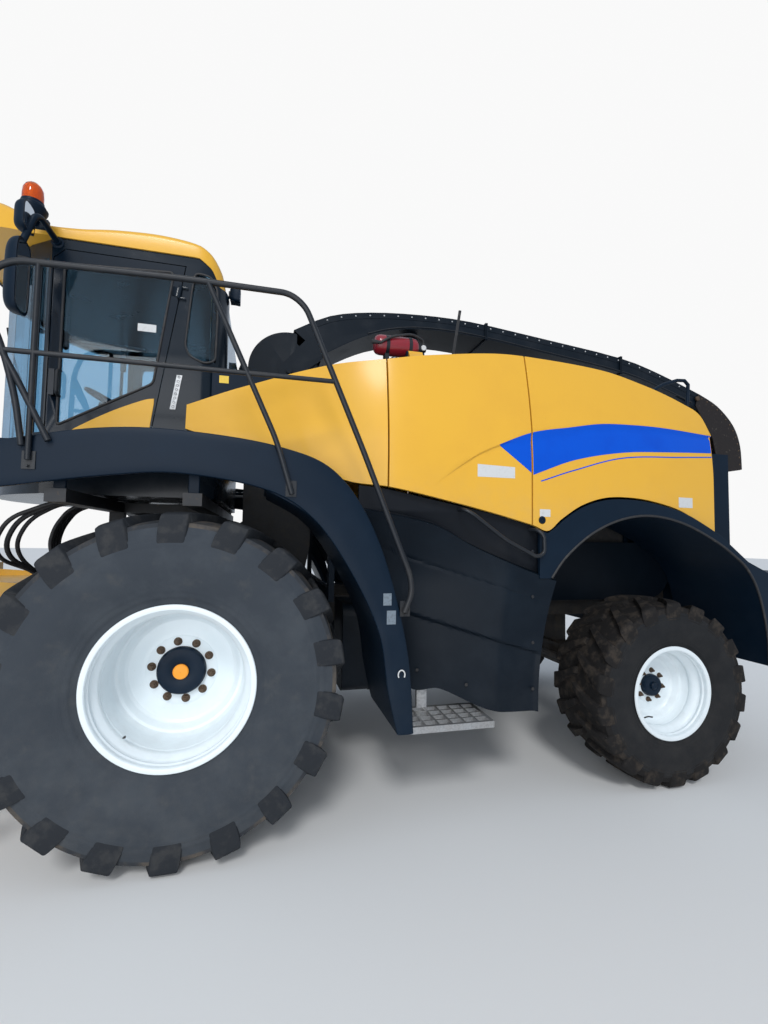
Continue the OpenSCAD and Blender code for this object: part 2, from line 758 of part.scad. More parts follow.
// Front fender band: its upper and lower edges, from the front to the foot of the rear leg
fender_upper = [[1010, 2140], [830, 2180], [400, 2270], [0, 2285], [-510, 2230], [-850, 2090],
    [-1100, 1710], [-1280, 1100], [-1330, 580]];
fender_lower = [[-1230, 580], [-1170, 830], [-1110, 1170], [-940, 1520], [-720, 1820], [-450, 1980],
    [0, 2050], [370, 2020], [820, 1945], [1010, 1920]];
function shifted(p, d) = [for (q = p) [q[0] + d, q[1]]];

module front_fenders() {
    inner = fender_y - 700;
    upper = through(fender_upper, 3);
    lower = through(fender_lower, 3);
    arch = through([for (i = [0:5]) fender_lower[i]], 3);
    back = [for (i = [0:len(arch) - 1]) let (q = arch[len(arch) - 1 - i]) [q[0] - sheet,
        q[1] + sheet * 0.6]];
    color([0.1, 0.1, 0.12]) at_axle() {
        both() {
            side(fender_y - sheet, fender_y) polygon(concat(upper, lower));
            side(inner, fender_y - sheet + 1) polygon(concat(arch, back));
            block([-480, cab_y + 40, deck_z - sheet], [1000, fender_y - sheet + 1, deck_z]);
            // brackets down to the carriers
            for (x = carriers)
                block([x - 30, fender_y - 130, carrier_z + carrier_h], [x + 30, fender_y - 110,
                    deck_z - sheet + 1]);
            block([-481, inner + 150, 1985], [-440, fender_y - sheet + 1, deck_z]);
        }
        // the left walkway runs on to the ladder
        block([999, cab_y + 140, deck_z - sheet], [1540, fender_y, deck_z]);
        block([door_front + 40, cab_y + 40, deck_z - sheet], [1000, cab_y + 141, deck_z]);
    }
}

module handrails() {
    r = rail_d / 2;
    y = fender_y + r - 0.5;
    skirt_y = body_w / 2;
    color("black") at_axle() {
        // long rail from the platform's front down the rear leg of the fender
        pipe([[960, y, 2080], [940, y, 2900], [890, y, 3030], [800, y, 3080], [20, y, 3105], [-550, y,
            3105],
            [-640, y, 3040], [-1000, y, 2210], [-1290, y, 1500], [-1300, y, 1400], [-1255, y, 1290]], r);
        pipe([[935, y, 2620], [-815, y, 2620]], r * 0.8);
        pipe([[-110, y, 3100], [-500, y, 2250], [-590, y, 1960]], r * 0.9);
        pipe([[700, y, 3085], [700, y, 2080]], r * 0.8);
        // two stays from the fender to the front post
        pipe([[730, y, 2150], [765, y, 2370], [800, y, 2510], [845, y, 2660], [930, y, 2850]], r * 0.9);
        pipe([[615, y, 2180], [690, y, 2330], [765, y, 2480], [830, y, 2600], [935, y, 2790]], r * 0.9);
        // right side rail
        mirror([0, 1, 0]) {
            pipe([[960, y, 2080], [940, y, 3000], [860, y, 3090], [-350, y, 3100], [-430, y, 3030],
                [-440, y, 2080]], r);
            pipe([[950, y, 2620], [-430, y, 2620]], r * 0.8);
            pipe([[260, y, 3090], [260, y, 2080]], r * 0.8);
        }
        // bent grip on each skirt
        both() pipe([[-1680, skirt_y - 8 + e, 1915], [-1680, skirt_y + 15, 1915], [-1730, skirt_y + 40,
            1890],
            [-1960, skirt_y + 45, 1720], [-2110, skirt_y + 40, 1650], [-2160, skirt_y + 15, 1640],
            [-2160, skirt_y - 8 + e, 1640]], 13, up = [0, 0, 1]);
    }
}

module ladder() {
    y0 = fender_y - 320;
    y1 = fender_y + 20;
    z0 = 480;
    steps = 5;
    color("black") at_axle() {
        for (x = [1060, 1480]) across(x, x + 24) polygon([[y1 - 60, z0], [y1, z0], [y0 + 70,
            deck_z - sheet],
            [y0, deck_z - sheet]]);
        for (i = [0:steps - 1]) {
            t = i / (steps - 0.4);
            y = y1 - 60 + (y0 - y1 + 60) * t;
            z = z0 + 20 + (deck_z - z0) * t;
            block([1083, y - 60, z], [1481, y + 90, z + 30]);
        }
    }
}

// Grating in front of each skirt
module service_steps() {
    x0 = -1870;
    x1 = -1325;
    y0 = 1180;
    y1 = 1530;
    z = 560;
    color("silver") at_axle() both() difference() {
        union() {
            block([x0, y0, z], [x1, y1, z + 40]);
            block([outriggers[0] - 35, y0, z + 39], [outriggers[0] + 35, y0 + 30, rail_top - 1]);
        }
        for (i = [0:5], j = [0:3])
            block([x0 + 22 + i * 86, y0 + 32 + j * 78, z - cut], [x0 + 94 + i * 86, y0 + 92 + j * 78,
                z + 50]);
    }
}

// Side panels

// Drop of the panels' upper edge below the hood's highest point
top_drop = [
    [panel_rear, 460], [rear_x - 400, 310], [rear_x - 260, 240], [rear_x + 130, 120], [rear_x + 480, 40],
    [seam_2, 0], [seam_2 + 270, 10], [seam_1 - 260, 80], [seam_1, 130], [-800, 180], [-280, 320], [60,
        460]];
// Lower edge of the panels: along the skirt, then over the rear wheel
sill_dip = rear_x + 990;
function sill_at(share) = sill_dip + share * (seam_1 - sill_dip);
sill = [
    [panel_rear, 1790], [rear_x - 310, 1880], [rear_x - 130, 1960], [rear_x + 130, 2020],
        [rear_x + 330, 2040],
    [rear_x + 540, 2030], [rear_x + 730, 1970], [rear_x + 890, 1870], [sill_dip, 1790],
    [sill_at(0.098), 1825], [sill_at(0.42), 1915], [sill_at(0.741), 1990], [seam_1, 2045],
    [-950, 2075], [60, 2400]];
// Half width of the bodywork at the panels' lower edge
plan = [
    [panel_rear, body_w / 2 - 50], [rear_x + 100, body_w / 2], [seam_1 - 400, body_w / 2], [-1250,
        body_w / 2 - 10],
    [-1000, body_w / 2 - 70], [-700, body_w / 2 - 180], [-300, cab_y + 125], [60, cab_y + 72]];
tuck_z = 2200;
function hood_z(x) = hood_top - curve(top_drop, x);
function sill_z(x) = curve(sill, x);
function panel_y(x, z) = curve(plan, x) - tuck * pow(max(0, (z - tuck_z) / (hood_top - tuck_z)), 1.7);

module panel(x0, x1, nx) {
    skin(x0, x1, nx, 6, panel_t, function(x) sill_z(x), function(x) hood_z(x), function(x,
        z) panel_y(x, z));
}

// Hinges of the opening panels: a line along X under their upper edge
hinge_y = body_w / 2 - 200;
hinge_z = hood_top - 40;
hinge_r = 16;
hinge_w = 100;
mid_hinges = [seam_1 - 220, seam_2 + 160];
rear_hinges = [seam_2 - 160, rear_x + 330];

module hinge_leaf(x) {
    z = min(hinge_z, hood_z(x) - 30);
    difference() {
        union() {
            translate([x - hinge_w / 2, hinge_y, hinge_z]) rotate([0, 90, 0]) cylinder(h = hinge_w,
                r = hinge_r);
            across(x - hinge_w / 2, x + hinge_w / 2) polygon([[hinge_y, hinge_z - 8], [hinge_y + 8,
                hinge_z + 8],
                [panel_y(x, z) - panel_t + 3, z + 12], [panel_y(x, z) - panel_t + 3, z - 12]]);
        }
        translate([x - hinge_w, hinge_y, hinge_z]) rotate([0, 90, 0]) cylinder(h = 2 * hinge_w, r = 8.05);
    }
}

module hinge_pin(x) {
    w = hinge_w / 2 + 1;
    translate([x - w - 12, hinge_y, hinge_z]) rotate([0, 90, 0]) cylinder(h = 2 * w + 24, r = 8);
    for (a = [x - w - 12, x + w]) across(a, a + 12) polygon(concat(
        arc(hinge_y, hinge_z, 14, -30, 120, 6),
        [[hinge_y - 50, hood_z(x) - 25], [hinge_y - 50, hood_z(x) - 40], [hinge_y - 14, hood_z(x) - 40]]));
}

module front_panels() {
    color("gold") at_axle() both() panel(seam_1 + panel_gap / 2, 60, 8);
}

module mid_panel_left() {
    color("gold") at_axle() {
        panel(seam_2 + panel_gap / 2, seam_1 - panel_gap / 2, 6);
        for (x = mid_hinges) hinge_leaf(x);
    }
}

module mid_panel_right() {
    mirror([0, 1, 0]) mid_panel_left();
}

module rear_panel_left() {
    color("gold") at_axle() {
        panel(panel_rear, seam_2 - panel_gap / 2, 14);
        for (x = rear_hinges) hinge_leaf(x);
    }
}

module rear_panel_right() {
    mirror([0, 1, 0]) rear_panel_left();
}

// Deck between the panels, with the frames that carry it and the pins of the panels' hinges
deck_front = -turret_x - 320;
function deck_y(x) = panel_y(x, hood_z(x)) - panel_t - panel_gap;
module hood_deck() {
    n = 16;
    xs = [for (i = [0:n]) panel_rear + 30 + (deck_front - panel_rear - 30) * i / n];
    hinges = concat(mid_hinges, rear_hinges);
    color("dimgray") at_axle() {
        difference() {
            intersection() {
                side(-body_w / 2, body_w / 2) polygon(concat(
                    [for (x = xs) [x, hood_z(x) - 10]],
                    [for (i = [0:n]) let (x = xs[n - i]) [x, hood_z(x) - 45]]));
                linear_extrude(4000) polygon(concat([for (x = xs) [x, deck_y(x)]],
                    [for (i = [0:n]) let (x = xs[n - i]) [x, -deck_y(x)]]));
            }
            both() for (x = hinges)
                block([x - hinge_w / 2 - 1, hinge_y - 30, 2500], [x + hinge_w / 2 + 1, body_w, 3500]);
        }
        both() for (x = hinges) hinge_pin(x);
        bulkhead(deck_front - 60, 850, rail_top);
        bulkhead(seam_1 - 100, 1150, rail_top);
        bulkhead(rear_x + 1100, 1180, rail_top);
        x = panel_rear + 50;
        block([x - 20, -engine_half, rail_top], [x + 20, engine_half, 2101]);
        block([x - 20, -1150, 2100], [x + 20, 1150, hood_z(x) - 20]);
        // bent grip at each rear corner
        both() pipe([for (q = [[20, -30], [20, 20], [-110, 95], [-250, 145], [-320, 150], [-355, 120],
            [-350, 30],
            [-340, -60]]) [grip_x + q[0], deck_y(grip_x) - 45, hood_z(grip_x) + q[1]]], grip_r);
        exhaust();
        air_intake();
        // plates between the cab and the deck
        x1 = deck_front - 30;
        both() side(cab_y - 15, cab_y) polygon([[x1, hood_z(x1) - 12], [-700, 2822],
            [cab_rear + 75, 2822], [cab_rear + 75, 2600], [x1, hood_z(x1) - 80]]);
    }
}

// Grips, exhaust and air intake on the deck
grip_x = rear_x - 20;
grip_r = 14;
exhaust_at = [rear_x + 700, -760];
exhaust_r = 75;
module exhaust() {
    z = hood_z(exhaust_at[0]) - 30;
    difference() {
        union() {
            translate([exhaust_at[0], exhaust_at[1], z]) cylinder(h = 60, r = exhaust_r + 35);
            translate([exhaust_at[0], exhaust_at[1], z + 59]) cylinder(h = 180, r = exhaust_r);
        }
        translate([exhaust_at[0], exhaust_at[1], z + 90]) cylinder(h = 200, r = exhaust_r - 5);
    }
}

module air_intake() {
    x = rear_x + 40;
    difference() {
        block([x, -620, hood_z(x + 480) - 160], [x + 480, 620, hood_z(x + 480) + 45]);
        for (i = [0:9], s = [-1, 1]) block([x + 30 + i * 44, s > 0 ? 40 : -580, hood_z(x + 480) + 25],
            [x + 54 + i * 44, s > 0 ? 580 : -40, hood_z(x + 480) + 50]);
    }
}

// A frame across the machine that carries the deck
module bulkhead(x, w, z0) {
    difference() {
        block([x - 20, -w, z0], [x + 20, w, hood_z(x) - 25]);
        block([x - 30, -w + 90, z0 + 90], [x + 30, w - 90, hood_z(x) - 150]);
    }
}

// Dark skirts below the panels, hollowed at the front for the foot on the step
skirt_front = -1010;
skirt_t = 30;
skirt_rear = rear_x + 1070;
// lower edge: share of the length from the rear, height
skirt_edge = [[0, 600], [0.27, 620], [0.516, 740], [0.705, 780], [0.803, 1250], [0.902, 1500], [1, 1750]];
skirt_low = [for (p = skirt_edge) [skirt_rear + p[0] * (skirt_front - skirt_rear), p[1]]];
function skirt_face(x, z) = body_w / 2 - 8 - (z > 1900 ? 0 : 1)
    * 220 * pow(max(0, min(1, (x + 1950) / 600)), 1) * sin(90 * max(0, min(1, (1900 - z) / 500)));

module side_skirts() {
    color([0.1, 0.1, 0.12]) at_axle() both()
        skin(skirt_rear, skirt_front, 10, 8, skirt_t, function(x) curve(skirt_low, x),
            function(x) sill_z(x) - 12, function(x, z) skirt_face(x, z));
}

// Rear wheel arches: lip, band and liner
arch_lip = [[970, 1470], [850, 1620], [640, 1780], [400, 1880], [150, 1910], [-130, 1860], [-410, 1740],
    [-590, 1630], [-720, 1520], [-820, 1340], [-890, 1050], [-900, 800]];
arch_wall_y = 610;

module rear_fenders() {
    t = 20;
    lip = through([for (q = arch_lip) [rear_x + q[0], q[1]]], 2);
    n = len(lip) - 1;
    y = body_w / 2;
    front = rear_x + 1060;
    xs = [for (i = [0:24]) rear_x - 470 + i * (1530 / 24)];
    color([0.1, 0.1, 0.12]) at_axle() both() {
        difference() {
            side(arch_wall_y, y) polygon(concat(lip,
                [[bumper_front + e, arch_lip[11][1]], [bumper_front + e, bumper_high], [rear_x - 720,
                    1590]],
                [for (x = xs) [x, sill_z(x) - 16]], [[front, arch_lip[0][1]]]));
            // hollow between the outer plate and the inner wall
            side(arch_wall_y + t, y - skirt_t) polygon(concat(
                [[front + 100, lip[0][1] + t], [lip[0][0] + 5, lip[0][1] + t]],
                [for (i = [1:n]) let (q = lip[i], d = [q[0] - rear_x, q[1] - 900]) q + t * d / norm(d)],
                [[lip[n][0] - t, 700], [bumper_front - 100, 700], [bumper_front - 100, 2600],
                    [front + 100, 2600]]));
            // room for the radiator case
            block([case_x - 50, arch_wall_y - cut, case_low - e], [panel_rear - 13, case_w / 2 + 20,
                2600]);
        }
        // foot on the outrigger
        block([front - 60, arch_wall_y + 2, outrigger_top], [front - 5, arch_wall_y + t - 2,
            lip[0][1] + 40]);
    }
}

// Tail: bumper shell and the radiator case behind the panels
bumper_front = rear_x - 925;
bumper_low = 840;
bumper_high = 1500;
case_w = 2200;
case_x = bumper_front - 40;
case_low = 1740;
case_top = 2480;
function tail_plan(inset) = let (y = body_w / 2 - inset, r = 220 - inset) concat(
    [[bumper_front - inset, -y], [bumper_front - inset, y]],
    arc(tail_x + 220, body_w / 2 - 220, r, 90, 180, 4),
    arc(tail_x + 220, -body_w / 2 + 220, r, 180, 270, 4));

module rear_body() {
    t = tail_t;
    color([0.1, 0.1, 0.12]) at_axle() {
        difference() {
            union() {
                translate([0, 0,
                    bumper_low]) linear_extrude(bumper_high - bumper_low) polygon(tail_plan(0));
                side(-case_w / 2, case_w / 2) polygon([[case_x, bumper_high - 1], [bumper_front,
                    bumper_high - 1],
                    [bumper_front, case_low], [panel_rear - 14, case_low], [panel_rear - 14, case_top],
                    [case_x, case_top]]);
                block([panel_rear - 60, -1250, 1830], [panel_rear - 12, 1250, case_top - 10]);
            }
            translate([0, 0, bumper_low - cut]) linear_extrude(bumper_high - t - bumper_low + cut)
                polygon(tail_plan(t));
            block([case_x - 100, -case_w / 2 + 90, case_low + t], [panel_rear - 110, case_w / 2 - 90,
                case_top - 80]);
            // passage for the frame rails
            block([bumper_front - 60, -frame_w / 2 - 5, rail_z - 5], [bumper_front + 10,
                frame_w / 2 + 5, rail_top + 5]);
            // pocket for the towing clevis
            block([tail_x - 50, -90, bumper_low - cut], [tail_x + t + 5, 90, rail_z + 105]);
        }
        for (z = grille_hinges) grille_pin(z);
    }
}

// Curved grille that covers the radiator case and swings on its right edge
grille_w = 2060;
grille_x = case_x - 6;
grille_z = 1540;
grille_h = 900;
grille_hinges = [grille_z + 100, grille_z + grille_h - 200];
grille_axis = [case_x - 22, -case_w / 2 + 10];

module grille_pin(z) {
    translate([grille_axis[0], grille_axis[1], z - 12]) cylinder(h = 124, r = 8);
    for (k = [z - 14, z + 101])
        block([grille_axis[0] - 10, grille_axis[1] - 10, k], [case_x + 1, grille_axis[1] + 10, k + 13]);
}

module rear_grille() {
    y = grille_w / 2;
    sag = 160;
    r = (y * y + sag * sag) / (2 * sag);
    slats = 9;
    a = asin(y / r);
    color("gold") at_axle() {
        translate([0, 0, grille_z]) difference() {
            linear_extrude(grille_h) difference() {
                polygon(arc(grille_x - sag + r, 0, r, 180 - a, 180 + a, 12));
                polygon(arc(grille_x - sag + r + 40, 0, r, 180 - a, 180 + a, 12));
            }
            for (i = [0:slats - 1], s = [-1, 1])
                block([grille_x - 400, s > 0 ? 60 : -y + 120, 70 + i * 88],
                    [grille_x + 100, s > 0 ? y - 120 : -60, 120 + i * 88]);
        }
        for (z = grille_hinges) translate([0, 0, z]) difference() {
            union() {
                translate([grille_axis[0], grille_axis[1], 0]) cylinder(h = 100, r = 15);
                block([grille_axis[0] - 10, grille_axis[1], 0], [grille_axis[0] + 10, -y + 70, 100]);
            }
            translate([grille_axis[0], grille_axis[1], -cut]) cylinder(h = 110, r = 8.05);
        }
    }
}

// Lamps, beacons, mirrors and the extinguisher

roof_lip = [1300, 3610];
roof_nose = [1650, roof_top - 150];
roof_rise = (roof_nose[1] - roof_lip[1]) / (roof_nose[0] - roof_lip[0]);
function roof_under(x) = roof_lip[1] + (x - roof_lip[0]) * roof_rise;
module lamps() {
    color("white") at_axle() {
        // work lamps under the roof's front edge
        for (y = [-640, -300, 300, 640])
            block([1540, y - 80, roof_under(1540) - 105], [1610, y + 80, roof_under(1540) - e]);
        // rear work lamps at the cab's corners
        both() block([cab_rear - 75, cab_y - 260, 3380], [cab_rear - e, cab_y - 150, 3500]);
        // tail lamps
        both() block([tail_x - 30, body_w / 2 - 420, 1260], [tail_x - e, body_w / 2 - 240, 1400]);
    }
}

beacon_x = 930;
module beacons() {
    color("orange") at_axle() both() translate([beacon_x, cab_y + 160, 3620]) {
        cylinder(h = 40, r = 70);
        translate([0, 0, 39]) cylinder(h = 120, r = 55);
    }
}

module mirrors() {
    y = cab_y + 290;
    x = door_front - 30;
    color([0.1, 0.1, 0.12]) at_axle() both() {
        pipe([[x, cab_y + e, 3525], [x, y - 40, 3525], [x + 10, y, 3500], [x + 65, y, 3340]], 18,
            up = [1, 0, 0.05]);
        translate([900, y, 2930]) linear_extrude(430) polygon(arc(0, 0, 85, -90, 90, 8));
        translate([x + 35, y, 3405]) linear_extrude(165) polygon(arc(0, 0, 70, -90, 90, 8));
        // foot that carries the beacon
        block([x - 10, cab_y + 145, 3510], [beacon_x, cab_y + 175, 3560]);
        translate([beacon_x, cab_y + 160, 3530]) cylinder(h = 90, r1 = 50, r2 = 80);
    }
}

module extinguisher() {
    z = 3045;
    y = 1178;
    color("red") at_axle() {
        translate([-1450, y, z]) rotate([0, 90, 0]) cylinder(h = 310, r = 68);
        translate([-1510, y, z]) rotate([0, 90, 0]) cylinder(h = 61, r = 30);
        for (x = [-1400, -1240]) block([x, y - 30, hood_z(x) - 10 + e], [x + 30, y + 30, z - 30]);
    }
}

// Hydraulic hoses from the platform's carrier to the header's couplings
module hoses() {
    x = carriers[1] + 50 + e;
    z = carrier_z + 35;
    color("black") at_axle() {
        for (i = [0:3]) {
            y = 600 + i * 45;
            pipe([[x, y, z], [x + 60, y, z], [805, y, z - 40], [880, y, 1760], [905, y, 1650],
                [coupling_x, y, coupling_z + 60], [coupling_x, y, coupling_z + e]], 13);
        }
    }
}

// Feeder: a housing that swings about the chopping drum's shaft

feed_y = feed_w / 2;
feed_x0 = 1010;
feed_floor = 560;
feed_top = 1420;
upper_roll = [1585, 1140];
lower_roll = [1600, 722];

lift_y = feed_y + 110;
lift_a = [330, 620];
lift_b = [1560, feed_floor];
lift_pin_r = 20;
lift_rod_r = 24;

drive_x = 1450;
drive_z = 1180;
drive_shaft_y = 710;

module feeder_housing() {
    arm_y = drum_w / 2 + 6;
    color("gold") at_axle() difference() {
        union() {
            both() {
                side(feed_y, feed_y + 25) polygon([[feed_x0, feed_floor + 60], [front_reach, feed_floor],
                    [front_reach, feed_top], [feed_x0, feed_top - 60]]);
                // arms to the swing shaft
                side(arm_y, arm_y + 30) polygon(concat([[feed_x0 + 60, drum_z - 160], [feed_x0 + 60,
                    drum_z + 160]],
                    arc(drum_x, drum_z, 90, 60, 300, 8)));
                side(feed_y, arm_y + 30) polygon([[feed_x0, drum_z - 160], [feed_x0 + 60, drum_z - 160],
                    [feed_x0 + 60, drum_z + 160], [feed_x0, drum_z + 160]]);
                // upright and hook of the header frame
                block([front_reach - 60, feed_y + 24, feed_floor - 40], [front_reach, header_w / 2,
                    feed_top + 40]);
                side(header_w / 2 - 140, header_w / 2 - 100) polygon([
                    [front_reach - 60, feed_top], [front_reach, feed_top], [front_reach, feed_top + 60],
                    [front_reach - 10, feed_top + 130], [front_reach - 60, feed_top + 130]]);
                // lugs and pin of the lift cylinder
                for (y = [lift_y - 42, lift_y + 30]) side(y, y + 12) polygon([
                    lift_b + [-40, -30], lift_b + [40, -30], lift_b + [60, 80], lift_b + [-60, 80]]);
                side(feed_y + 10, lift_y + 42) polygon([lift_b + [-60, 70], lift_b + [60, 70],
                    lift_b + [60, 90],
                    lift_b + [-60, 90]]);
                axle_bar(lift_b[0], lift_b[1], lift_pin_r, lift_y - 41, lift_y + 41);
            }
            block([feed_x0, -feed_y - 1, feed_top - 85], [front_reach, feed_y + 1, feed_top - 60]);
            block([feed_x0, -feed_y - 1, feed_floor + 60], [1430, feed_y + 1, feed_floor + 85]);
            block([front_reach - 60, -header_w / 2, feed_top - 61], [front_reach, header_w / 2,
                feed_top + 40]);
            block([front_reach - 60, -header_w / 2, feed_floor - 40], [front_reach, header_w / 2,
                feed_floor + 10]);
            // gearbox with the shaft that drives the header
            axle_bar(drive_x, drive_z, 80, feed_y + 24, drive_shaft_y + 60);
            translate([drive_x, drive_shaft_y, drive_z]) rotate([0, 90, 0]) cylinder(h = 90,
                r = drive_shaft_r + 17);
            translate([drive_x, drive_shaft_y, drive_z]) rotate([0, 90, 0]) cylinder(h = 175,
                r = drive_shaft_r);
        }
        axle_bar(drum_x, drum_z, 45.05, -drum_w, drum_w);
        for (q = [upper_roll, lower_roll]) axle_bar(q[0], q[1], 40.05, -feed_y - 30, feed_y + 30);
        both() translate([front_reach - 70, header_w / 2 - 60, feed_floor - 10]) rotate([0, 90, 0])
            cylinder(h = 80, r = lock_r);
    }
}

module feed_roll(c, r, blades, tooth) {
    at_axle() translate([c[0], 0, c[1]]) rotate([90, 0, 0]) {
        translate([0, 0, -roll_l / 2]) linear_extrude(roll_l) {
            circle(r - tooth);
            for (i = [0:blades - 1]) rotate(360 * i / blades) translate([0, -5]) square([r, 10]);
        }
        translate([0, 0, -feed_y - 24]) cylinder(h = feed_w + 48, r = 40);
    }
}

module upper_feed_roll() {
    color("silver") feed_roll(upper_roll, upper_roll_r, 10, 60);
}

module lower_feed_roll() {
    color("silver") feed_roll(lower_roll, lower_roll_r, 14, 22);
}

// Feeder lift cylinders, from the chopping unit to the feeder
module lift_frame(a, b) {
    d = b - a;
    translate([a[0], 0, a[1]]) rotate([0, -atan2(d[1], d[0]), 0]) children();
}

module feeder_barrels() {
    color("dimgray") at_axle() lift_frame(lift_a, lift_b) both() difference() {
        union() {
            translate([0, lift_y, 0]) rotate([0, 90, 0]) cylinder(h = 700, r = 48);
            axle_bar(0, 0, 52, lift_y - 34, lift_y + 34);
        }
        axle_bar(0, 0, 25.05, lift_y - 60, lift_y + 60);
        translate([120, lift_y, 0]) rotate([0, 90, 0]) cylinder(h = 640, r = lift_rod_r + 0.05);
    }
}

module feeder_pistons() {
    l = norm(lift_b - lift_a);
    color("silver") at_axle() lift_frame(lift_a, lift_b) both() difference() {
        union() {
            translate([380, lift_y, 0]) rotate([0, 90, 0]) cylinder(h = l - 416, r = lift_rod_r);
            axle_bar(l, 0, 50, lift_y - 28, lift_y + 28);
        }
        axle_bar(l, 0, lift_pin_r + 9, lift_y - 60, lift_y + 60);
    }
}

// Spout: elbow on the turntable, chute, deflector and lift cylinder

spout_pin = [-turret_x - 70, turret_z + 190];
hinge = [-4980, 3315];
chute_top = [[-turret_x - 100, 3500], [-960, 3665], [-1320, 3745], [-1790, 3785], [-2290, 3785],
    [-3030, 3720],
    [-3960, 3620], [-4460, 3500], [-4960, 3335]];
chute_low = [[-4960, 3170], [-4460, 3335], [-3960, 3455], [-3030, 3565], [-2290, 3640], [-1790, 3640],
    [-1445, 3575], [-1180, 3465], [-900, 3300]];

module spout_elbow() {
    w = spout_w / 2 - spout_t - 7;
    p = spout_pin;
    color([0.12, 0.12, 0.13]) at_axle() {
        difference() {
            union() {
                side(-w, w) union() {
                    translate(p) circle(elbow_r, $fn = 72);
                    polygon([[p[0] + elbow_r, p[1]], [p[0] - elbow_r + 90, p[1]], [-turret_x - 260,
                        turret_z + 12],
                        [-turret_x + 270, turret_z + 12]]);
                }
                translate([-turret_x, 0, turret_z + 12]) cylinder(h = 25, r = turret_r + 10);
            }
            // the duct inside
            side(-w + spout_t, w - spout_t) union() {
                translate(p) circle(elbow_r - spout_t, $fn = 72);
                polygon([[p[0] + elbow_r - spout_t, p[1]], [p[0] - elbow_r + 98, p[1]],
                    [-turret_x - 250, turret_z - 10], [-turret_x + 262, turret_z - 10]]);
            }
            side(-w - 20, w + 20) polygon([p + [-60, 700], p + [-60, 250], p + [-235, 90], p + [-260, 20],
                p + [-700, 20]]);
            translate([-turret_x - 500, -w - 20, turret_z - 400]) cube([1000, 2 * w + 40, 412]);
        }
        axle_bar(p[0], p[1], spout_pin_r, -spout_w / 2 - 20, -w + 1);
        axle_bar(p[0], p[1], spout_pin_r, w - 1, spout_w / 2 + 20);
        // bearing under the ring
        translate([-turret_x, 0, turret_z + e]) cylinder(h = 12, r = turret_r - 30);
        // lugs for the lift cylinder
        for (y = [-40, 28]) side(y, y + 12) polygon([[-turret_x - turret_r + 20, turret_z + 20],
            [-turret_x - turret_r + 20, turret_z + 100], jack_a + [0, 36], jack_a + [-36, 0],
                jack_a + [0, -36],
            [-turret_x - turret_r + 5, turret_z + 14]]);
    }
}

module spout_chute() {
    w = spout_w / 2;
    p = spout_pin;
    top = through(chute_top, 3);
    low = through(chute_low, 3);
    n = len(top) - 1;
    m = len(low) - 1;
    color([0.12, 0.12, 0.13]) at_axle() difference() {
        union() {
            both() side(w - spout_t, w) union() {
                polygon(concat(top, low));
                translate(p) circle(90);
                polygon([p + [60, 60], p + [-60, -60], chute_low[8] + [-20, -10], top[3]]);
            }
            side(-w, w) polygon(concat(top, [for (i = [0:n]) top[n - i] + [0, -spout_t * 1.2]]));
            side(-w, w) polygon(concat(low, [for (i = [0:m]) low[m - i] + [0, spout_t * 1.2]]));
            // flanges along the lower edge
            both() side(w - 1, w + 26) polygon(concat([for (i = [2:m]) low[i]],
                [for (i = [0:m - 2]) low[m - i] + [0, spout_t]]));
            // lug for the lift cylinder
            for (y = [-40, 28]) side(y, y + 12) polygon([[-1700, 3640], [-1700, 3560], [-1760, 3510],
                [-1820, 3560], [-1820, 3645]]);
        }
        axle_bar(p[0], p[1], spout_pin_r + 0.05, -w - 20, w + 20);
        axle_bar(hinge[0] + 60, hinge[1] - 40, 15.05, -w - 40, w + 40);
    }
}

module deflector() {
    w = spout_w / 2 + 8;
    back = through([[-4940, 3330], [-5190, 3215], [-5400, 3020], [-rear_reach + 18, 2800],
        [-rear_reach, 2540]], 4);
    n = len(back) - 1;
    h = hinge + [60, -40];
    color("dimgray") at_axle() {
        both() difference() {
            side(w, w + 8) polygon(concat(back, [[-5200, 2490], [-5120, 2860], [-4900, 3200]]));
            axle_bar(h[0], h[1], 14, w + 1, w + 7);
        }
        side(-w - 1, w + 1) polygon(concat([for (i = [3:n]) back[i]],
            [for (i = [0:n - 3]) back[n - i] + [14, -5]]));
        both() axle_bar(h[0], h[1], 15, w - 12, w + 2);
    }
}

jack_a = [-turret_x - turret_r - 110, turret_z + 70];
jack_b = [-1760, 3545];

module spout_barrel() {
    color("dimgray") at_axle() jack_frame() difference() {
        union() {
            translate([0, 0, 0]) rotate([0, 90, 0]) cylinder(h = 520, r = 26);
            axle_bar(0, 0, 30, -27, 27);
        }
        translate([60, 0, 0]) rotate([0, 90, 0]) cylinder(h = 520, r = 15.05);
    }
}

module spout_piston() {
    l = norm(jack_b - jack_a);
    color("silver") at_axle() jack_frame() {
        translate([240, 0, 0]) rotate([0, 90, 0]) cylinder(h = l - 260, r = 15);
        translate([l - 40, 0, 0]) rotate([0, 90, 0]) cylinder(h = 60, r = 22);
    }
}

module jack_frame() {
    d = jack_b - jack_a;
    translate([jack_a[0], 0, jack_a[1]]) rotate([0, -atan2(d[1], d[0]), 0]) children();
}

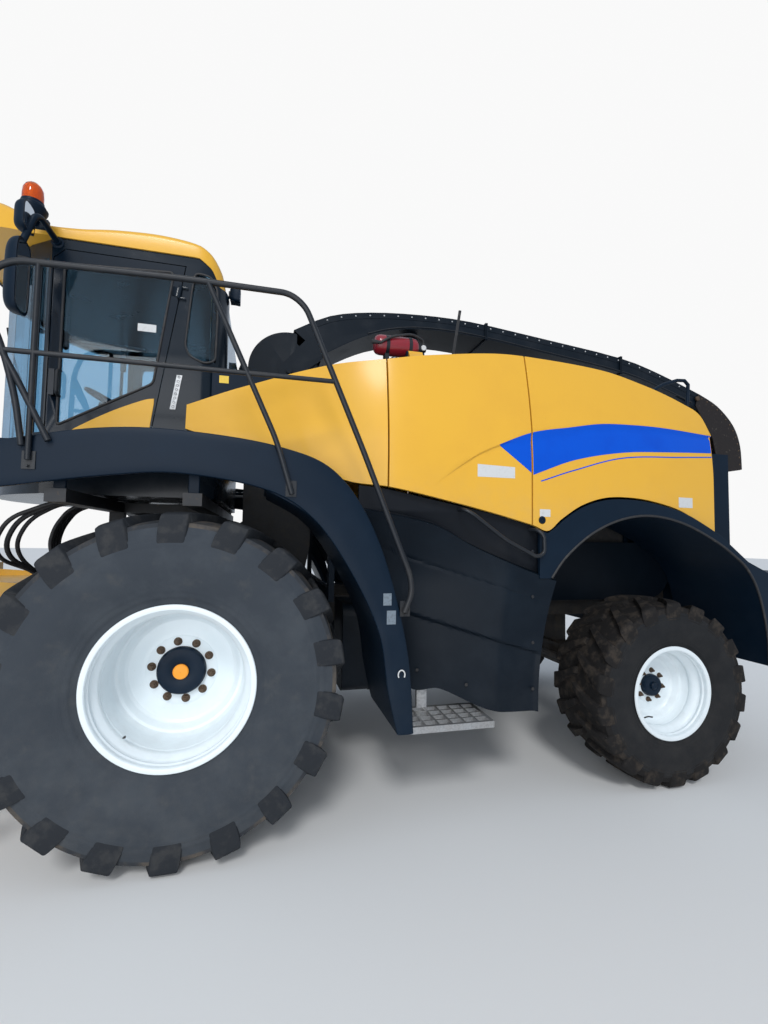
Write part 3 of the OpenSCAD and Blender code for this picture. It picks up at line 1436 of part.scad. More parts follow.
frame();
front_axle();
rear_axle();
chopper_housing();
engine();
fuel_tanks();
cab_shell();
cab_roof();
cab_glass();
seat();
controls();
cab_door();
door_glass();
front_fenders();
handrails();
ladder();
service_steps();
front_panels();
hood_deck();
side_skirts();
rear_fenders();
rear_body();
mid_panel_left();
mid_panel_right();
rear_panel_left();
rear_panel_right();
rear_grille();
lamps();
beacons();
mirrors();
extinguisher();
hoses();
front_tyre_left();
front_tyre_right();
front_rim_left();
front_rim_right();
rear_tyre_left();
rear_tyre_right();
rear_rim_left();
rear_rim_right();
knuckle_left();
knuckle_right();
track_rod();
steering_barrel();
steering_piston();
feeder_housing();
upper_feed_roll();
lower_feed_roll();
feeder_barrels();
feeder_pistons();
spout_elbow();
spout_chute();
deflector();
spout_barrel();
spout_piston();
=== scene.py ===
import json
import math
import bpy
import bmesh
import numpy as np
from mathutils import Matrix

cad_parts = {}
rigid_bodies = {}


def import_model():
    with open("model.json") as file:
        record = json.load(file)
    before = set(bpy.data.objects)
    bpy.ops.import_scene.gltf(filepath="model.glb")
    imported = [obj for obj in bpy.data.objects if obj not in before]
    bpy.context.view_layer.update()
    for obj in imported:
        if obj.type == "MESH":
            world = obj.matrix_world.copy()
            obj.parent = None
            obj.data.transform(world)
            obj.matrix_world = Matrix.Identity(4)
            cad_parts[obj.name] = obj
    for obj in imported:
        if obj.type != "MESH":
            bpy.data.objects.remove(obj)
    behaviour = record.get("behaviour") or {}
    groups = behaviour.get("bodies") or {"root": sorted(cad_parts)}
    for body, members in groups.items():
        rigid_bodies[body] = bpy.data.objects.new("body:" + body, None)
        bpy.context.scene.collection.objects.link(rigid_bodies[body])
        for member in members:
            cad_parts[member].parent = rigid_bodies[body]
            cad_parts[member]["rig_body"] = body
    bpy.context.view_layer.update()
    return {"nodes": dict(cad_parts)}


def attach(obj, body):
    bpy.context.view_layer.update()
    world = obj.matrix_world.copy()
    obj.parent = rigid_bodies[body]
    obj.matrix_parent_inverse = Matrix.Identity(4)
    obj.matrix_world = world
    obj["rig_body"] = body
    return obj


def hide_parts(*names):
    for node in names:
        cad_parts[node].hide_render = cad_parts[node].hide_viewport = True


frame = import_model()
scene = bpy.context.scene
axleX = 1.84    # front axle along the machine, from its middle; the x of every shape counts from this axle
rearX = -3.3   # rear axle, from the front one
pi = math.pi
print("frame loaded:", len(frame["nodes"]), "nodes")


# arrays into meshes
def gridShape(points, closeU=False, closeV=False):
    # points[u, v] joined to its neighbours by four-sided faces; a closed direction joins its last row to its first
    p = np.asarray(points, float)
    nu, nv = p.shape[:2]
    u = np.arange(nu if closeU else nu - 1)[:, None]
    v = np.arange(nv if closeV else nv - 1)[None, :]
    a, b = u * nv + v, ((u + 1) % nu) * nv + v
    c, d = ((u + 1) % nu) * nv + (v + 1) % nv, u * nv + (v + 1) % nv
    return p.reshape(-1, 3), np.stack([a, b, c, d], -1).reshape(-1, 4)


def mirrored(shape):
    # the same shape on the other side: y changes its sign and each face its direction
    return shape[0] * [1, -1, 1], np.asarray(shape[1])[:, ::-1]


def both(*shapes):
    return [s for shape in shapes for s in (shape, mirrored(shape))]


def moved(shape, by):
    return shape[0] + np.asarray(by, float), shape[1]


def stamped(shape, places, turns=None):
    # copies of one shape: copy k is turned by the matrix turns[k], then moved to places[k]
    p, f = shape
    places = np.asarray(places, float).reshape(-1, 3)
    k = len(places)
    turns = np.broadcast_to(np.eye(3) if turns is None else turns, (k, 3, 3))
    points = np.einsum("kij,nj->kni", turns, p) + places[:, None, :]
    faces = np.asarray(f)[None] + (np.arange(k) * len(p))[:, None, None]
    return points.reshape(-1, 3), faces.reshape(-1, np.asarray(f).shape[1])


def latheShape(profile, centre=(0, 0, 0), steps=96, axis="y"):
    # profile of (distance along the axis, radius), turned once about the axis through centre
    q = np.asarray(profile, float)
    t = np.linspace(0, 2 * pi, steps, endpoint=False)
    along, r = q[None, :, 0] + 0 * t[:, None], q[None, :, 1]
    c, s = r * np.cos(t)[:, None], r * np.sin(t)[:, None]
    order = {"y": (s, along, c), "z": (c, s, along), "x": (along, c, s)}[axis]
    return gridShape(np.stack(order, -1) + np.asarray(centre, float), closeU=True)


def knobShape(profile, centre=(0, 0, 0), steps=24, axis="y", core=0.001):
    # a turned shape whose ends close on its axis
    first, last = ([(x, core)] if r > core else [] for x, r in (profile[0], profile[-1]))
    return latheShape(first + list(profile) + last, centre, steps, axis)


def capped(rows):
    # rows of points with one more row at each end, drawn in to that end's middle
    first, last = (np.broadcast_to(rows[k].mean(0), rows[:1].shape) for k in (0, -1))
    return np.concatenate([first, rows, last])


def sweepShape(path, radius, sides=14, up=(0, 1, 0)):
    # a circle carried along a path, across its direction and level with up, its ends drawn in to the path
    path = np.asarray(path, float)
    d = np.gradient(path, axis=0)
    d /= np.linalg.norm(d, axis=1)[:, None]
    u = np.cross(d, np.asarray(up, float))
    u /= np.linalg.norm(u, axis=1)[:, None]
    t = np.linspace(0, 2 * pi, sides, endpoint=False)[None, :, None]
    p = path[:, None] + radius * np.cos(t) * u[:, None] + radius * np.sin(t) * np.cross(u, d)[:, None]
    return gridShape(capped(p), closeV=True)


def roundedPath(points, bend, steps=7):
    # a bent line whose corners become parabolas that start a bend's length before each corner
    p = np.asarray(points, float)
    if len(p) < 3:
        return p
    mid, back, ahead = p[1:-1], p[:-2] - p[1:-1], p[2:] - p[1:-1]
    lb, la = np.linalg.norm(back, axis=1), np.linalg.norm(ahead, axis=1)
    r = np.minimum(bend, 0.48 * np.minimum(lb, la))[:, None]
    a, c = mid + back / lb[:, None] * r, mid + ahead / la[:, None] * r
    t = np.linspace(0, 1, steps)[None, :, None]
    curve = (1 - t) ** 2 * a[:, None] + 2 * t * (1 - t) * mid[:, None] + t ** 2 * c[:, None]
    return np.concatenate([p[:1], curve.reshape(-1, 3), p[-1:]])


def tubeShape(points, radius, bend=0.06, sides=14, up=(0, 1, 0)):
    return sweepShape(roundedPath(points, bend), radius, sides, up)


def splinePath(points, n):
    # smooth line through the points, n steps between each two, every point's slope taken from its neighbours
    p = np.asarray(points, float)
    q = np.concatenate([p[:1], p, p[-1:]])
    t = (np.arange(n) / n)[None, :, None]
    a, b, c, d = (q[k:len(q) - 3 + k][:, None] for k in range(4))
    m = 0.5 * (2 * b + (c - a) * t + (2 * a - 5 * b + 4 * c - d) * t ** 2 + (3 * b - a - 3 * c + d) * t ** 3)
    return np.concatenate([m.reshape(-1, p.shape[1]), p[-1:]])


def along(path, n):
    # n points at equal distances along a line
    s = np.concatenate([[0], np.cumsum(np.linalg.norm(np.diff(path, axis=0), axis=1))])
    return np.stack([np.interp(np.linspace(0, s[-1], n), s, path[:, k]) for k in range(path.shape[1])], -1)


def upright(path, y):
    # a line or a grid in X and Z, set at y
    path = np.asarray(path, float)
    return np.stack([path[..., 0], 0 * path[..., 0] + y, path[..., 1]], -1)


def tableCurve(table, x):
    # smooth height over x through a table whose x rises, its slope at a point that of its neighbours' line
    t = np.asarray(table, float)
    x = np.asarray(x, float)
    i = np.clip(np.searchsorted(t[:, 0], x, side="left") - 1, 0, len(t) - 2)
    k = np.arange(len(t))
    lo, hi = np.maximum(k - 1, 0), np.minimum(k + 1, len(t) - 1)
    slope = (t[hi, 1] - t[lo, 1]) / (t[hi, 0] - t[lo, 0])
    h = t[i + 1, 0] - t[i, 0]
    s = (x - t[i, 0]) / h
    return (t[i, 1] * (1 + 2 * s) * (1 - s) ** 2 + t[i + 1, 1] * s * s * (3 - 2 * s)
            + slope[i] * h * s * (1 - s) ** 2 - slope[i + 1] * h * s * s * (1 - s))


def eased(t):
    # rises from 0 to 1 with level ends
    t = np.clip(t, 0, 1)
    return t * t * (3 - 2 * t)


def boxShape(low, high):
    x, y, z = [(low[k], high[k]) for k in range(3)]
    faces = [[0, 1, 3, 2], [4, 6, 7, 5], [0, 4, 5, 1], [2, 3, 7, 6], [0, 2, 6, 4], [1, 5, 7, 3]]
    return np.array([[a, b, c] for a in x for b in y for c in z], float), np.array(faces)


def plateShape(outline, low, high, plane="xz"):
    # a flat outline carried from low to high across its plane, as walls and rings that close on the outline's middle
    q = np.asarray(outline, float)
    mid = np.broadcast_to(q.mean(0), q.shape)
    across = {"xz": 1, "yz": 0}[plane]
    rows = [np.insert(r, across, h, axis=1) for r, h in ((mid, low), (q, low), (q, high), (mid, high))]
    return gridShape(np.stack(rows), closeV=True)


def sheetShape(outer, offset):
    # a grid and its copy moved by offset as one closed sheet, with walls round their borders
    nu, nv = outer.shape[:2]
    n = nu * nv
    k = np.arange(n).reshape(nu, nv)
    loop = np.concatenate([k[0], k[1:, -1], k[-1, -2::-1], k[-2:0:-1, 0]])
    after = np.roll(loop, -1)
    own = gridShape(outer)[1]
    points = np.concatenate([outer.reshape(-1, 3), (outer + np.asarray(offset, float)).reshape(-1, 3)])
    return points, np.concatenate([own, own[:, ::-1] + n, np.stack([after, loop, loop + n, after + n], -1)])


def addObject(name, mesh, mat, bevel, body, smooth, stands):
    # an object with its finish, rounded edges and body, in place of the CAD node that it stands for
    mesh.polygons.foreach_set("use_smooth", np.ones(len(mesh.polygons), bool))
    mesh.set_sharp_from_angle(angle=math.radians(smooth))
    mesh.materials.append(finishes[mat])
    obj = bpy.data.objects.new(name, mesh)
    scene.collection.objects.link(obj)
    if bevel:
        edge = obj.modifiers.new("edges", "BEVEL")
        edge.width, edge.segments = bevel, 2
        edge.limit_method, edge.angle_limit = "ANGLE", math.radians(32)
        edge.use_clamp_overlap = edge.harden_normals = True
    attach(obj, body)
    if stands:
        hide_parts(stands)
    return obj


def makePiece(name, shapes, mat, bevel=0, body="chassis", slot=None, smooth=35, stands=None, closed=True):
    # one object from several shapes, merged where they meet, its faces turned outwards when it is closed
    base, points, faces = 0, [], []
    for p, f in shapes if isinstance(shapes, list) else [shapes]:
        points.append(p)
        faces += (np.asarray(f) + base).tolist()
        base += len(p)
    mesh = bpy.data.meshes.new(name)
    mesh.from_pydata((np.concatenate(points) + [axleX, 0, 0]).tolist(), [], faces)
    bm = bmesh.new()
    bm.from_mesh(mesh)
    bmesh.ops.remove_doubles(bm, verts=bm.verts, dist=2e-6)
    bmesh.ops.dissolve_degenerate(bm, edges=bm.edges, dist=1e-7)
    if closed:
        bmesh.ops.recalc_face_normals(bm, faces=bm.faces)
    bm.to_mesh(mesh)
    bm.free()
    return addObject(name, mesh, mat, bevel, body, smooth, stands)


def softened(node, width, mat, smooth):
    # a copy of a CAD node with merged faces and rounded edges, which stands for the node
    source = frame["nodes"][node]
    mesh = source.data.copy()
    mesh.materials.clear()
    bm = bmesh.new()
    bm.from_mesh(mesh)
    bmesh.ops.remove_doubles(bm, verts=bm.verts, dist=2e-5)
    bmesh.ops.dissolve_limit(bm, angle_limit=math.radians(0.6), verts=bm.verts, edges=bm.edges)
    bm.to_mesh(mesh)
    bm.free()
    addObject(node + "_finish", mesh, mat, width, source["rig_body"], smooth, node)


# finishes
def put(tree, socket, value):
    # links a socket, or sets it to a value
    if isinstance(value, bpy.types.NodeSocket):
        tree.links.new(value, socket)
    else:
        socket.default_value = value


def nodeGroup(name, output, **inputs):
    # a group of numbers in and one number out, with its input sockets, its end and Object coordinates
    tree = bpy.data.node_groups.new(name, "ShaderNodeTree")
    for label, value in inputs.items():
        tree.interface.new_socket(name=label, in_out="INPUT", socket_type="NodeSocketFloat").default_value = value
    tree.interface.new_socket(name=output, in_out="OUTPUT", socket_type="NodeSocketFloat")
    ins, end = tree.nodes.new("NodeGroupInput").outputs, tree.nodes.new("NodeGroupOutput").inputs[0]
    return tree, ins, end, tree.nodes.new("ShaderNodeTexCoord").outputs["Object"]


def mathNode(tree, operation, a, b, clamp=False):
    node = tree.nodes.new("ShaderNodeMath")
    node.operation, node.use_clamp = operation, clamp
    put(tree, node.inputs[0], a)
    put(tree, node.inputs[1], b)
    return node.outputs[0]


def noiseNode(tree, vector, scale, detail, rough=0.55):
    node = tree.nodes.new("ShaderNodeTexNoise")
    for label, value in (("Vector", vector), ("Scale", scale), ("Detail", detail), ("Roughness", rough)):
        put(tree, node.inputs[label], value)
    return node.outputs["Fac"]


def rangeNode(tree, value, low, high, toLow=0.0, toHigh=1.0):
    node = tree.nodes.new("ShaderNodeMapRange")
    node.interpolation_type = "SMOOTHSTEP"
    for socket, v in zip(node.inputs, (value, low, high, toLow, toHigh)):
        put(tree, socket, v)
    return node.outputs[0]


def heightOf(tree, vector):
    split = tree.nodes.new("ShaderNodeSeparateXYZ")
    tree.links.new(vector, split.inputs[0])
    return split.outputs["Z"]


def makePatches():
    # mask of soft spots: noise, cut between low and high
    tree, ins, end, co = nodeGroup("patches", "Mask", Scale=8.0, Low=0.45, High=0.65)
    put(tree, end, rangeNode(tree, noiseNode(tree, co, ins["Scale"], 6.0, 0.6), ins["Low"], ins["High"]))
    return tree


def makeDust():
    # mask of settled dust: strongest near the ground and on faces that look up, broken by noise
    tree, ins, end, co = nodeGroup("settledDust", "Mask", Bottom=0.3, Top=2.2, Scale=6.0, Upward=0.5)
    low = rangeNode(tree, heightOf(tree, co), ins["Top"], ins["Bottom"])
    facing = heightOf(tree, tree.nodes.new("ShaderNodeNewGeometry").outputs["Normal"])
    level = mathNode(tree, "MULTIPLY", rangeNode(tree, facing, 0.3, 0.95), ins["Upward"])
    noise = rangeNode(tree, noiseNode(tree, co, ins["Scale"], 8.0, 0.65), 0.35, 0.75, 0.25, 1.0)
    put(tree, end, mathNode(tree, "MULTIPLY", mathNode(tree, "ADD", low, level, clamp=True), noise))
    return tree


def makeGrain():
    # height of a moulded or painted skin: fine noise over a coarser swell
    tree, ins, end, co = nodeGroup("skinGrain", "Height", Fine=900.0, Coarse=25.0, Swell=0.3)
    coarse = mathNode(tree, "MULTIPLY", noiseNode(tree, co, ins["Coarse"], 2.0), ins["Swell"])
    put(tree, end, mathNode(tree, "ADD", noiseNode(tree, co, ins["Fine"], 2.0), coarse))
    return tree


patches, settledDust, skinGrain = makePatches(), makeDust(), makeGrain()
shaderLabels = dict(metallic="Metallic", coat="Coat Weight", coatRough="Coat Roughness",
                    specular="Specular IOR Level", sheen="Sheen Weight")


def finish(name, color, rough, spots, dust=None, grain=None, **extras):
    # color with spots of other colours and settled dust over it; roughness follows each; grain gives the bump
    mat = bpy.data.materials.new(name)
    mat.use_nodes = True
    tree = mat.node_tree
    shader = tree.nodes["Principled BSDF"]
    for key, value in {"coatRough": 0.05, **extras}.items():
        shader.inputs[shaderLabels[key]].default_value = value

    def place(group, *values):
        node = tree.nodes.new("ShaderNodeGroup")
        node.node_tree = group
        for socket, value in zip(node.inputs, values):
            socket.default_value = value
        return node.outputs[0]

    shade, gloss = (*color, 1.0), rough
    layers = [(patches, spot[:3], spot[5:] or [1.0], *spot[3:5]) for spot in spots]
    if dust:
        layers.append((settledDust, dust[:4], dust[4:5], dust[5], 0.85))
    for group, values, amount, other, roughTo in layers:
        mask = mathNode(tree, "MULTIPLY", place(group, *values), amount[0])
        mix = tree.nodes.new("ShaderNodeMix")
        mix.data_type = "RGBA"
        colors = [s for s in mix.inputs if s.type == "RGBA"]
        put(tree, mix.inputs["Factor"], mask)
        put(tree, colors[0], shade)
        put(tree, colors[1], (*other, 1.0))
        shade = [s for s in mix.outputs if s.type == "RGBA"][0]
        gloss = rangeNode(tree, mask, 0.0, 1.0, gloss, roughTo)
    put(tree, shader.inputs["Base Color"], shade)
    put(tree, shader.inputs["Roughness"], gloss)
    if grain:
        bump = tree.nodes.new("ShaderNodeBump")
        put(tree, bump.inputs["Strength"], grain[3])
        put(tree, bump.inputs["Distance"], grain[4])
        put(tree, bump.inputs["Height"], place(skinGrain, *grain[:3]))
        put(tree, shader.inputs["Normal"], bump.outputs[0])
    return mat


def glassFinish(name, color, rough):
    # clear sheet with a tint; faint smears change its roughness
    mat = bpy.data.materials.new(name)
    mat.use_nodes = True
    tree = mat.node_tree
    shader = tree.nodes["Principled BSDF"]
    for label, value in (("Base Color", (*color, 1.0)), ("Transmission Weight", 1.0), ("IOR", 1.45)):
        shader.inputs[label].default_value = value
    co = tree.nodes.new("ShaderNodeTexCoord").outputs["Object"]
    smears = rangeNode(tree, noiseNode(tree, co, 7.0, 6.0), 0.45, 0.8, rough, rough + 0.12)
    put(tree, shader.inputs["Roughness"], smears)
    return mat


finishes, usualSlots = {}, {}
earth = (0.2, 0.155, 0.105)
paleDust = (0.33, 0.31, 0.27)


def addFinish(name, slot, *values, **extras):
    finishes[name], usualSlots[name] = finish(name, *values, **extras), slot


# each finish: name, usual slot, colour, roughness; its spots (scale, low, high, colour, roughness, amount);
# its dust (bottom, top, scale, upward, amount, colour); its grain (fine, coarse, swell, strength, depth)
addFinish("goldenPaint", "paint", (0.79, 0.43, 0.04), 0.38, [(2.2, 0.42, 0.75, (0.74, 0.39, 0.04), 0.36, 0.6),
           (60, 0.66, 0.74, (0.62, 0.33, 0.05), 0.55, 0.35)], (1.5, 2.3, 9, 0.35, 0.28, paleDust),
          (1400, 18, 0.8, 0.05, 0.001), coat=0.25, coatRough=0.16, specular=0.25)
addFinish("darkPlastic", "dark_plastic", (0.003, 0.011, 0.024), 0.42,
          [(3.5, 0.4, 0.8, (0.005, 0.015, 0.031), 0.48, 0.8), (130, 0.64, 0.72, (0.04, 0.045, 0.05), 0.7, 0.2)],
          (0.4, 2.0, 5, 0.45, 0.07, (0.1, 0.11, 0.12)), (700, 30, 0.4, 0.18, 0.001), specular=0.15)
addFinish("cabBlack", "dark_plastic", (0.003, 0.009, 0.017), 0.24,
          [(5, 0.45, 0.8, (0.008, 0.013, 0.02), 0.32, 0.8)], (2.0, 2.6, 8, 0.3, 0.1, (0.1, 0.11, 0.12)), coat=0.15,
          coatRough=0.12, specular=0.25)
addFinish("skirtPlastic", "dark_plastic", (0.003, 0.007, 0.013), 0.4, [(3, 0.4, 0.8, (0.006, 0.012, 0.02), 0.5, 0.8),
           (110, 0.64, 0.72, (0.035, 0.038, 0.042), 0.7, 0.2)], (0.4, 1.6, 6, 0.3, 0.06, (0.1, 0.1, 0.1)),
          (700, 30, 0.4, 0.18, 0.001), specular=0.15)
addFinish("deepBlack", "dark_plastic", (0.004, 0.006, 0.01), 0.55, [(6, 0.45, 0.8, (0.01, 0.012, 0.015), 0.7, 0.7)],
          specular=0.2)
addFinish("blackSteel", "dark_paint", (0.011, 0.014, 0.019), 0.4, [(14, 0.5, 0.75, (0.03, 0.03, 0.03), 0.6, 0.6)],
          (0.3, 1.8, 8, 0.6, 0.3, earth), (500, 40, 0.5, 0.12, 0.001), specular=0.35)
addFinish("underSteel", "dark_paint", (0.018, 0.02, 0.024), 0.5, [(10, 0.45, 0.75, (0.045, 0.04, 0.035), 0.7, 0.8),
           (45, 0.6, 0.7, (0.09, 0.055, 0.03), 0.8, 0.4)], (0.2, 1.8, 7, 0.8, 0.45, earth),
          (300, 35, 0.8, 0.25, 0.002), specular=0.35)
addFinish("spoutSheet", "spout_sheet", (0.004, 0.009, 0.016), 0.42,
          [(5, 0.45, 0.8, (0.016, 0.021, 0.028), 0.55, 0.8)], (2.5, 2.6, 6, 0.4, 0.16, (0.16, 0.16, 0.16)),
          (600, 12, 1.2, 0.12, 0.002), specular=0.18)
addFinish("wornSheet", "worn_sheet", (0.022, 0.018, 0.018), 0.62, [(9, 0.45, 0.7, (0.025, 0.022, 0.021), 0.75, 0.9),
           (40, 0.6, 0.7, (0.1, 0.085, 0.07), 0.7, 0.6)], grain=(400, 15, 1.0, 0.25, 0.002), specular=0.2)
addFinish("rimPaint", "rim", (0.8, 0.87, 0.9), 0.34, [(7, 0.5, 0.8, (0.72, 0.77, 0.79), 0.5, 0.6),
           (120, 0.68, 0.74, (0.4, 0.3, 0.2), 0.8, 0.3)], (0.2, 1.3, 9, 0.5, 0.12, earth),
          (900, 30, 0.4, 0.06, 0.001), coat=0.25)
addFinish("tyreRubber", "tyre", (0.032, 0.04, 0.051), 0.78, [(4, 0.42, 0.72, (0.05, 0.059, 0.07), 0.86, 0.9),
           (9, 0.56, 0.8, (0.1, 0.095, 0.085), 0.93, 0.3)], (-0.2, 1.9, 14, 0.2, 0.18, (0.12, 0.115, 0.105)),
          (260, 22, 1.6, 0.4, 0.003), specular=0.3)
addFinish("wornTread", "tyre", (0.019, 0.022, 0.027), 0.8, [(11, 0.46, 0.66, (0.055, 0.055, 0.055), 0.93, 0.5)],
          grain=(220, 30, 1.5, 0.5, 0.003), specular=0.25)
addFinish("valleyEarth", "tyre", (0.032, 0.036, 0.042), 0.85, [(5, 0.42, 0.62, (0.125, 0.105, 0.085), 0.95, 0.75)],
          grain=(220, 30, 1.5, 0.5, 0.003), specular=0.2)
# darker copies of the tyre's rubber and tread for the rear wheels: painted shade from the body over them; the tread's
# brown spots are earth
addFinish("shadedRearRubber", "tyre", (0.011, 0.012, 0.014), 0.78, [(6, 0.42, 0.72, (0.022, 0.022, 0.023), 0.86, 0.8)],
          (-0.2, 1.3, 14, 0.2, 0.12, (0.1, 0.085, 0.07)), (260, 22, 1.6, 0.4, 0.003), specular=0.25)
addFinish("shadedRearTread", "tyre", (0.014, 0.013, 0.013), 0.85, [(14, 0.46, 0.66, (0.06, 0.048, 0.038), 0.93, 0.6)],
          grain=(220, 30, 1.5, 0.5, 0.003), specular=0.2)
addFinish("rustyBolts", "rim", (0.11, 0.075, 0.05), 0.6, [(90, 0.45, 0.7, (0.1, 0.06, 0.035), 0.85)], metallic=0.5)
addFinish("galvanised", "galvanised", (0.5, 0.51, 0.52), 0.42, [(70, 0.42, 0.62, (0.38, 0.39, 0.4), 0.55, 0.8)],
          (0.3, 1.2, 12, 0.6, 0.35, earth), metallic=0.85)
addFinish("rodChrome", "dark_paint", (0.72, 0.72, 0.73), 0.14, [(30, 0.6, 0.8, (0.45, 0.44, 0.42), 0.35, 0.5)],
          metallic=1.0)
addFinish("rollSteel", "dark_paint", (0.34, 0.335, 0.33), 0.38, [(18, 0.45, 0.7, (0.17, 0.15, 0.12), 0.6, 0.8)],
          metallic=0.9)
addFinish("rubberHose", "dark_plastic", (0.018, 0.018, 0.02), 0.55,
          [(25, 0.5, 0.75, (0.06, 0.055, 0.05), 0.75, 0.8)], grain=(900, 80, 0.5, 0.2, 0.001))
addFinish("seatCloth", "fabric", (0.03, 0.031, 0.036), 0.85, [(240, 0.45, 0.6, (0.055, 0.056, 0.062), 0.9, 0.8)],
          grain=(1500, 160, 1.0, 0.5, 0.001), sheen=0.35)
addFinish("redPaint", "red_paint", (0.24, 0.01, 0.02), 0.3, [(22, 0.5, 0.8, (0.16, 0.01, 0.016), 0.4, 0.8)],
          (2.9, 3.0, 20, 0.5, 0.5, paleDust), coat=0.3)
addFinish("blackGlass", "dark_plastic", (0.003, 0.009, 0.018), 0.24,
          [(6, 0.5, 0.9, (0.01, 0.012, 0.015), 0.16, 0.8)], coat=0.1, specular=0.25)
addFinish("blueStripe", "paint", (0.001, 0.085, 0.6), 0.38, [(3, 0.4, 0.8, (0.002, 0.065, 0.52), 0.38, 0.8)],
          coat=0.05, specular=0.12)
addFinish("blankPlate", "dark_plastic", (0.62, 0.63, 0.63), 0.45, [(50, 0.5, 0.8, (0.48, 0.48, 0.46), 0.6, 0.7)])
addFinish("yellowPlate", "dark_plastic", (0.8, 0.55, 0.05), 0.45, [(60, 0.5, 0.8, (0.68, 0.46, 0.05), 0.6, 0.7)])
addFinish("orangeCap", "dark_plastic", (0.93, 0.33, 0.01), 0.4, [(60, 0.5, 0.8, (0.8, 0.25, 0.01), 0.5, 0.7)],
          coat=0.2)
addFinish("castIron", "engine_block", (0.03, 0.03, 0.032), 0.6, [(25, 0.45, 0.7, (0.055, 0.05, 0.045), 0.75, 0.8)],
          specular=0.3)
addFinish("greyPlate", "dark_plastic", (0.16, 0.2, 0.24), 0.5, [(60, 0.45, 0.7, (0.1, 0.12, 0.14), 0.6, 0.8)])
addFinish("lampReflector", "lamp_lens", (0.78, 0.79, 0.8), 0.16, [(40, 0.5, 0.8, (0.55, 0.56, 0.57), 0.3, 0.7)],
          metallic=0.9)
addFinish("mirrorFace", "dark_plastic", (0.86, 0.87, 0.88), 0.03, [(30, 0.62, 0.85, (0.6, 0.6, 0.58), 0.2, 0.4)],
          metallic=1.0)
glasses = [("cabGlass", "dark_paint", (0.52, 0.76, 0.9), 0.0), ("amberDome", "lamp_lens", (1.0, 0.33, 0.03), 0.08),
           ("redLens", "lamp_lens", (0.9, 0.03, 0.02), 0.12), ("lampLens", "lamp_lens", (0.93, 0.95, 0.96), 0.02)]
for glassName, glassSlot, glassColor, glassRough in glasses:
    finishes[glassName], usualSlots[glassName] = glassFinish(glassName, glassColor, glassRough), glassSlot
print("finishes made:", len(bpy.data.materials))


# floor, light and camera
setting = dict(floor=(0.78, 0.78, 0.77), floorHalf=60, sky=(0.76, 0.86, 1.0), backdrop=(0.95, 0.95, 0.95),
               skyPower=0.58, sunPower=1.2, sunAngle=14, sunTurn=(46, 8, 158), fillPower=190, fillSize=5,
               fillPlace=(3.5, 7.5, 2.6), fillTurn=(84, 0, 162))
lens = dict(place=(1.4092, 4.3146, 1.7171), yaw=14.2663, pitch=3.215, roll=0.9416, focal=480.4544, size=(768, 1024),
            sensor=36, far=200)


def makeLight(name, kind, power, turn):
    light = bpy.data.objects.new(name, bpy.data.lights.new(name, kind))
    light.data.energy = power
    light.rotation_euler = [math.radians(a) for a in turn]
    scene.collection.objects.link(light)
    return light


def makeSetting():
    # a level floor, an even sky seen white by the camera, one soft sun and a broad fill beside the camera
    floor = bpy.data.meshes.new("floor")
    half = setting["floorHalf"]
    points, faces = boxShape((-half, -half, -0.05), (half, half, 0))
    floor.from_pydata(points.tolist(), [], faces.tolist())
    floorObject = bpy.data.objects.new("floor", floor)
    scene.collection.objects.link(floorObject)
    mat = bpy.data.materials.new("floor")
    mat.use_nodes = True
    shader = mat.node_tree.nodes["Principled BSDF"]
    shader.inputs["Base Color"].default_value = (*setting["floor"], 1)
    shader.inputs["Roughness"].default_value = 0.9
    floor.materials.append(mat)
    world = bpy.data.worlds.new("sky")
    scene.world = world
    world.use_nodes = True
    tree = world.node_tree
    sky, plain = tree.nodes["Background"], tree.nodes.new("ShaderNodeBackground")
    sky.inputs["Color"].default_value = (*setting["sky"], 1)
    sky.inputs["Strength"].default_value = setting["skyPower"]
    plain.inputs["Color"].default_value = (*setting["backdrop"], 1)
    mix, rays = tree.nodes.new("ShaderNodeMixShader"), tree.nodes.new("ShaderNodeLightPath")
    for socket, value in zip(mix.inputs, (rays.outputs["Is Camera Ray"], sky.outputs[0], plain.outputs[0])):
        put(tree, socket, value)
    put(tree, tree.nodes["World Output"].inputs["Surface"], mix.outputs[0])
    sun = makeLight("sun", "SUN", setting["sunPower"], setting["sunTurn"])
    sun.data.angle = math.radians(setting["sunAngle"])
    fill = makeLight("fill", "AREA", setting["fillPower"], setting["fillTurn"])
    fill.data.size, fill.location = setting["fillSize"], setting["fillPlace"]


def makeCamera():
    # looks along (yaw, pitch) and leans by roll; the lens gives focal pixels over the picture's longer side
    yaw, pitch, roll = (math.radians(lens[k]) for k in ("yaw", "pitch", "roll"))
    look = np.array([-math.sin(yaw) * math.cos(pitch), -math.cos(yaw) * math.cos(pitch), math.sin(pitch)])
    right = np.cross(look, (0, 0, 1))
    right /= np.linalg.norm(right)
    up = np.cross(right, look)
    camera = bpy.data.objects.new("camera", bpy.data.cameras.new("camera"))
    camera.data.sensor_width, camera.data.clip_end = lens["sensor"], lens["far"]
    camera.data.lens = lens["focal"] * lens["sensor"] / max(lens["size"])
    turn = np.eye(4)
    turn[:3, 0] = right * math.cos(roll) + up * math.sin(roll)
    turn[:3, 1] = up * math.cos(roll) - right * math.sin(roll)
    turn[:3, 2], turn[:3, 3] = -look, lens["place"]
    camera.matrix_world = Matrix(turn.tolist())
    scene.collection.objects.link(camera)
    scene.camera = camera
    scene.render.resolution_x, scene.render.resolution_y = lens["size"]
    scene.view_settings.view_transform = "Standard"


makeSetting()
makeCamera()

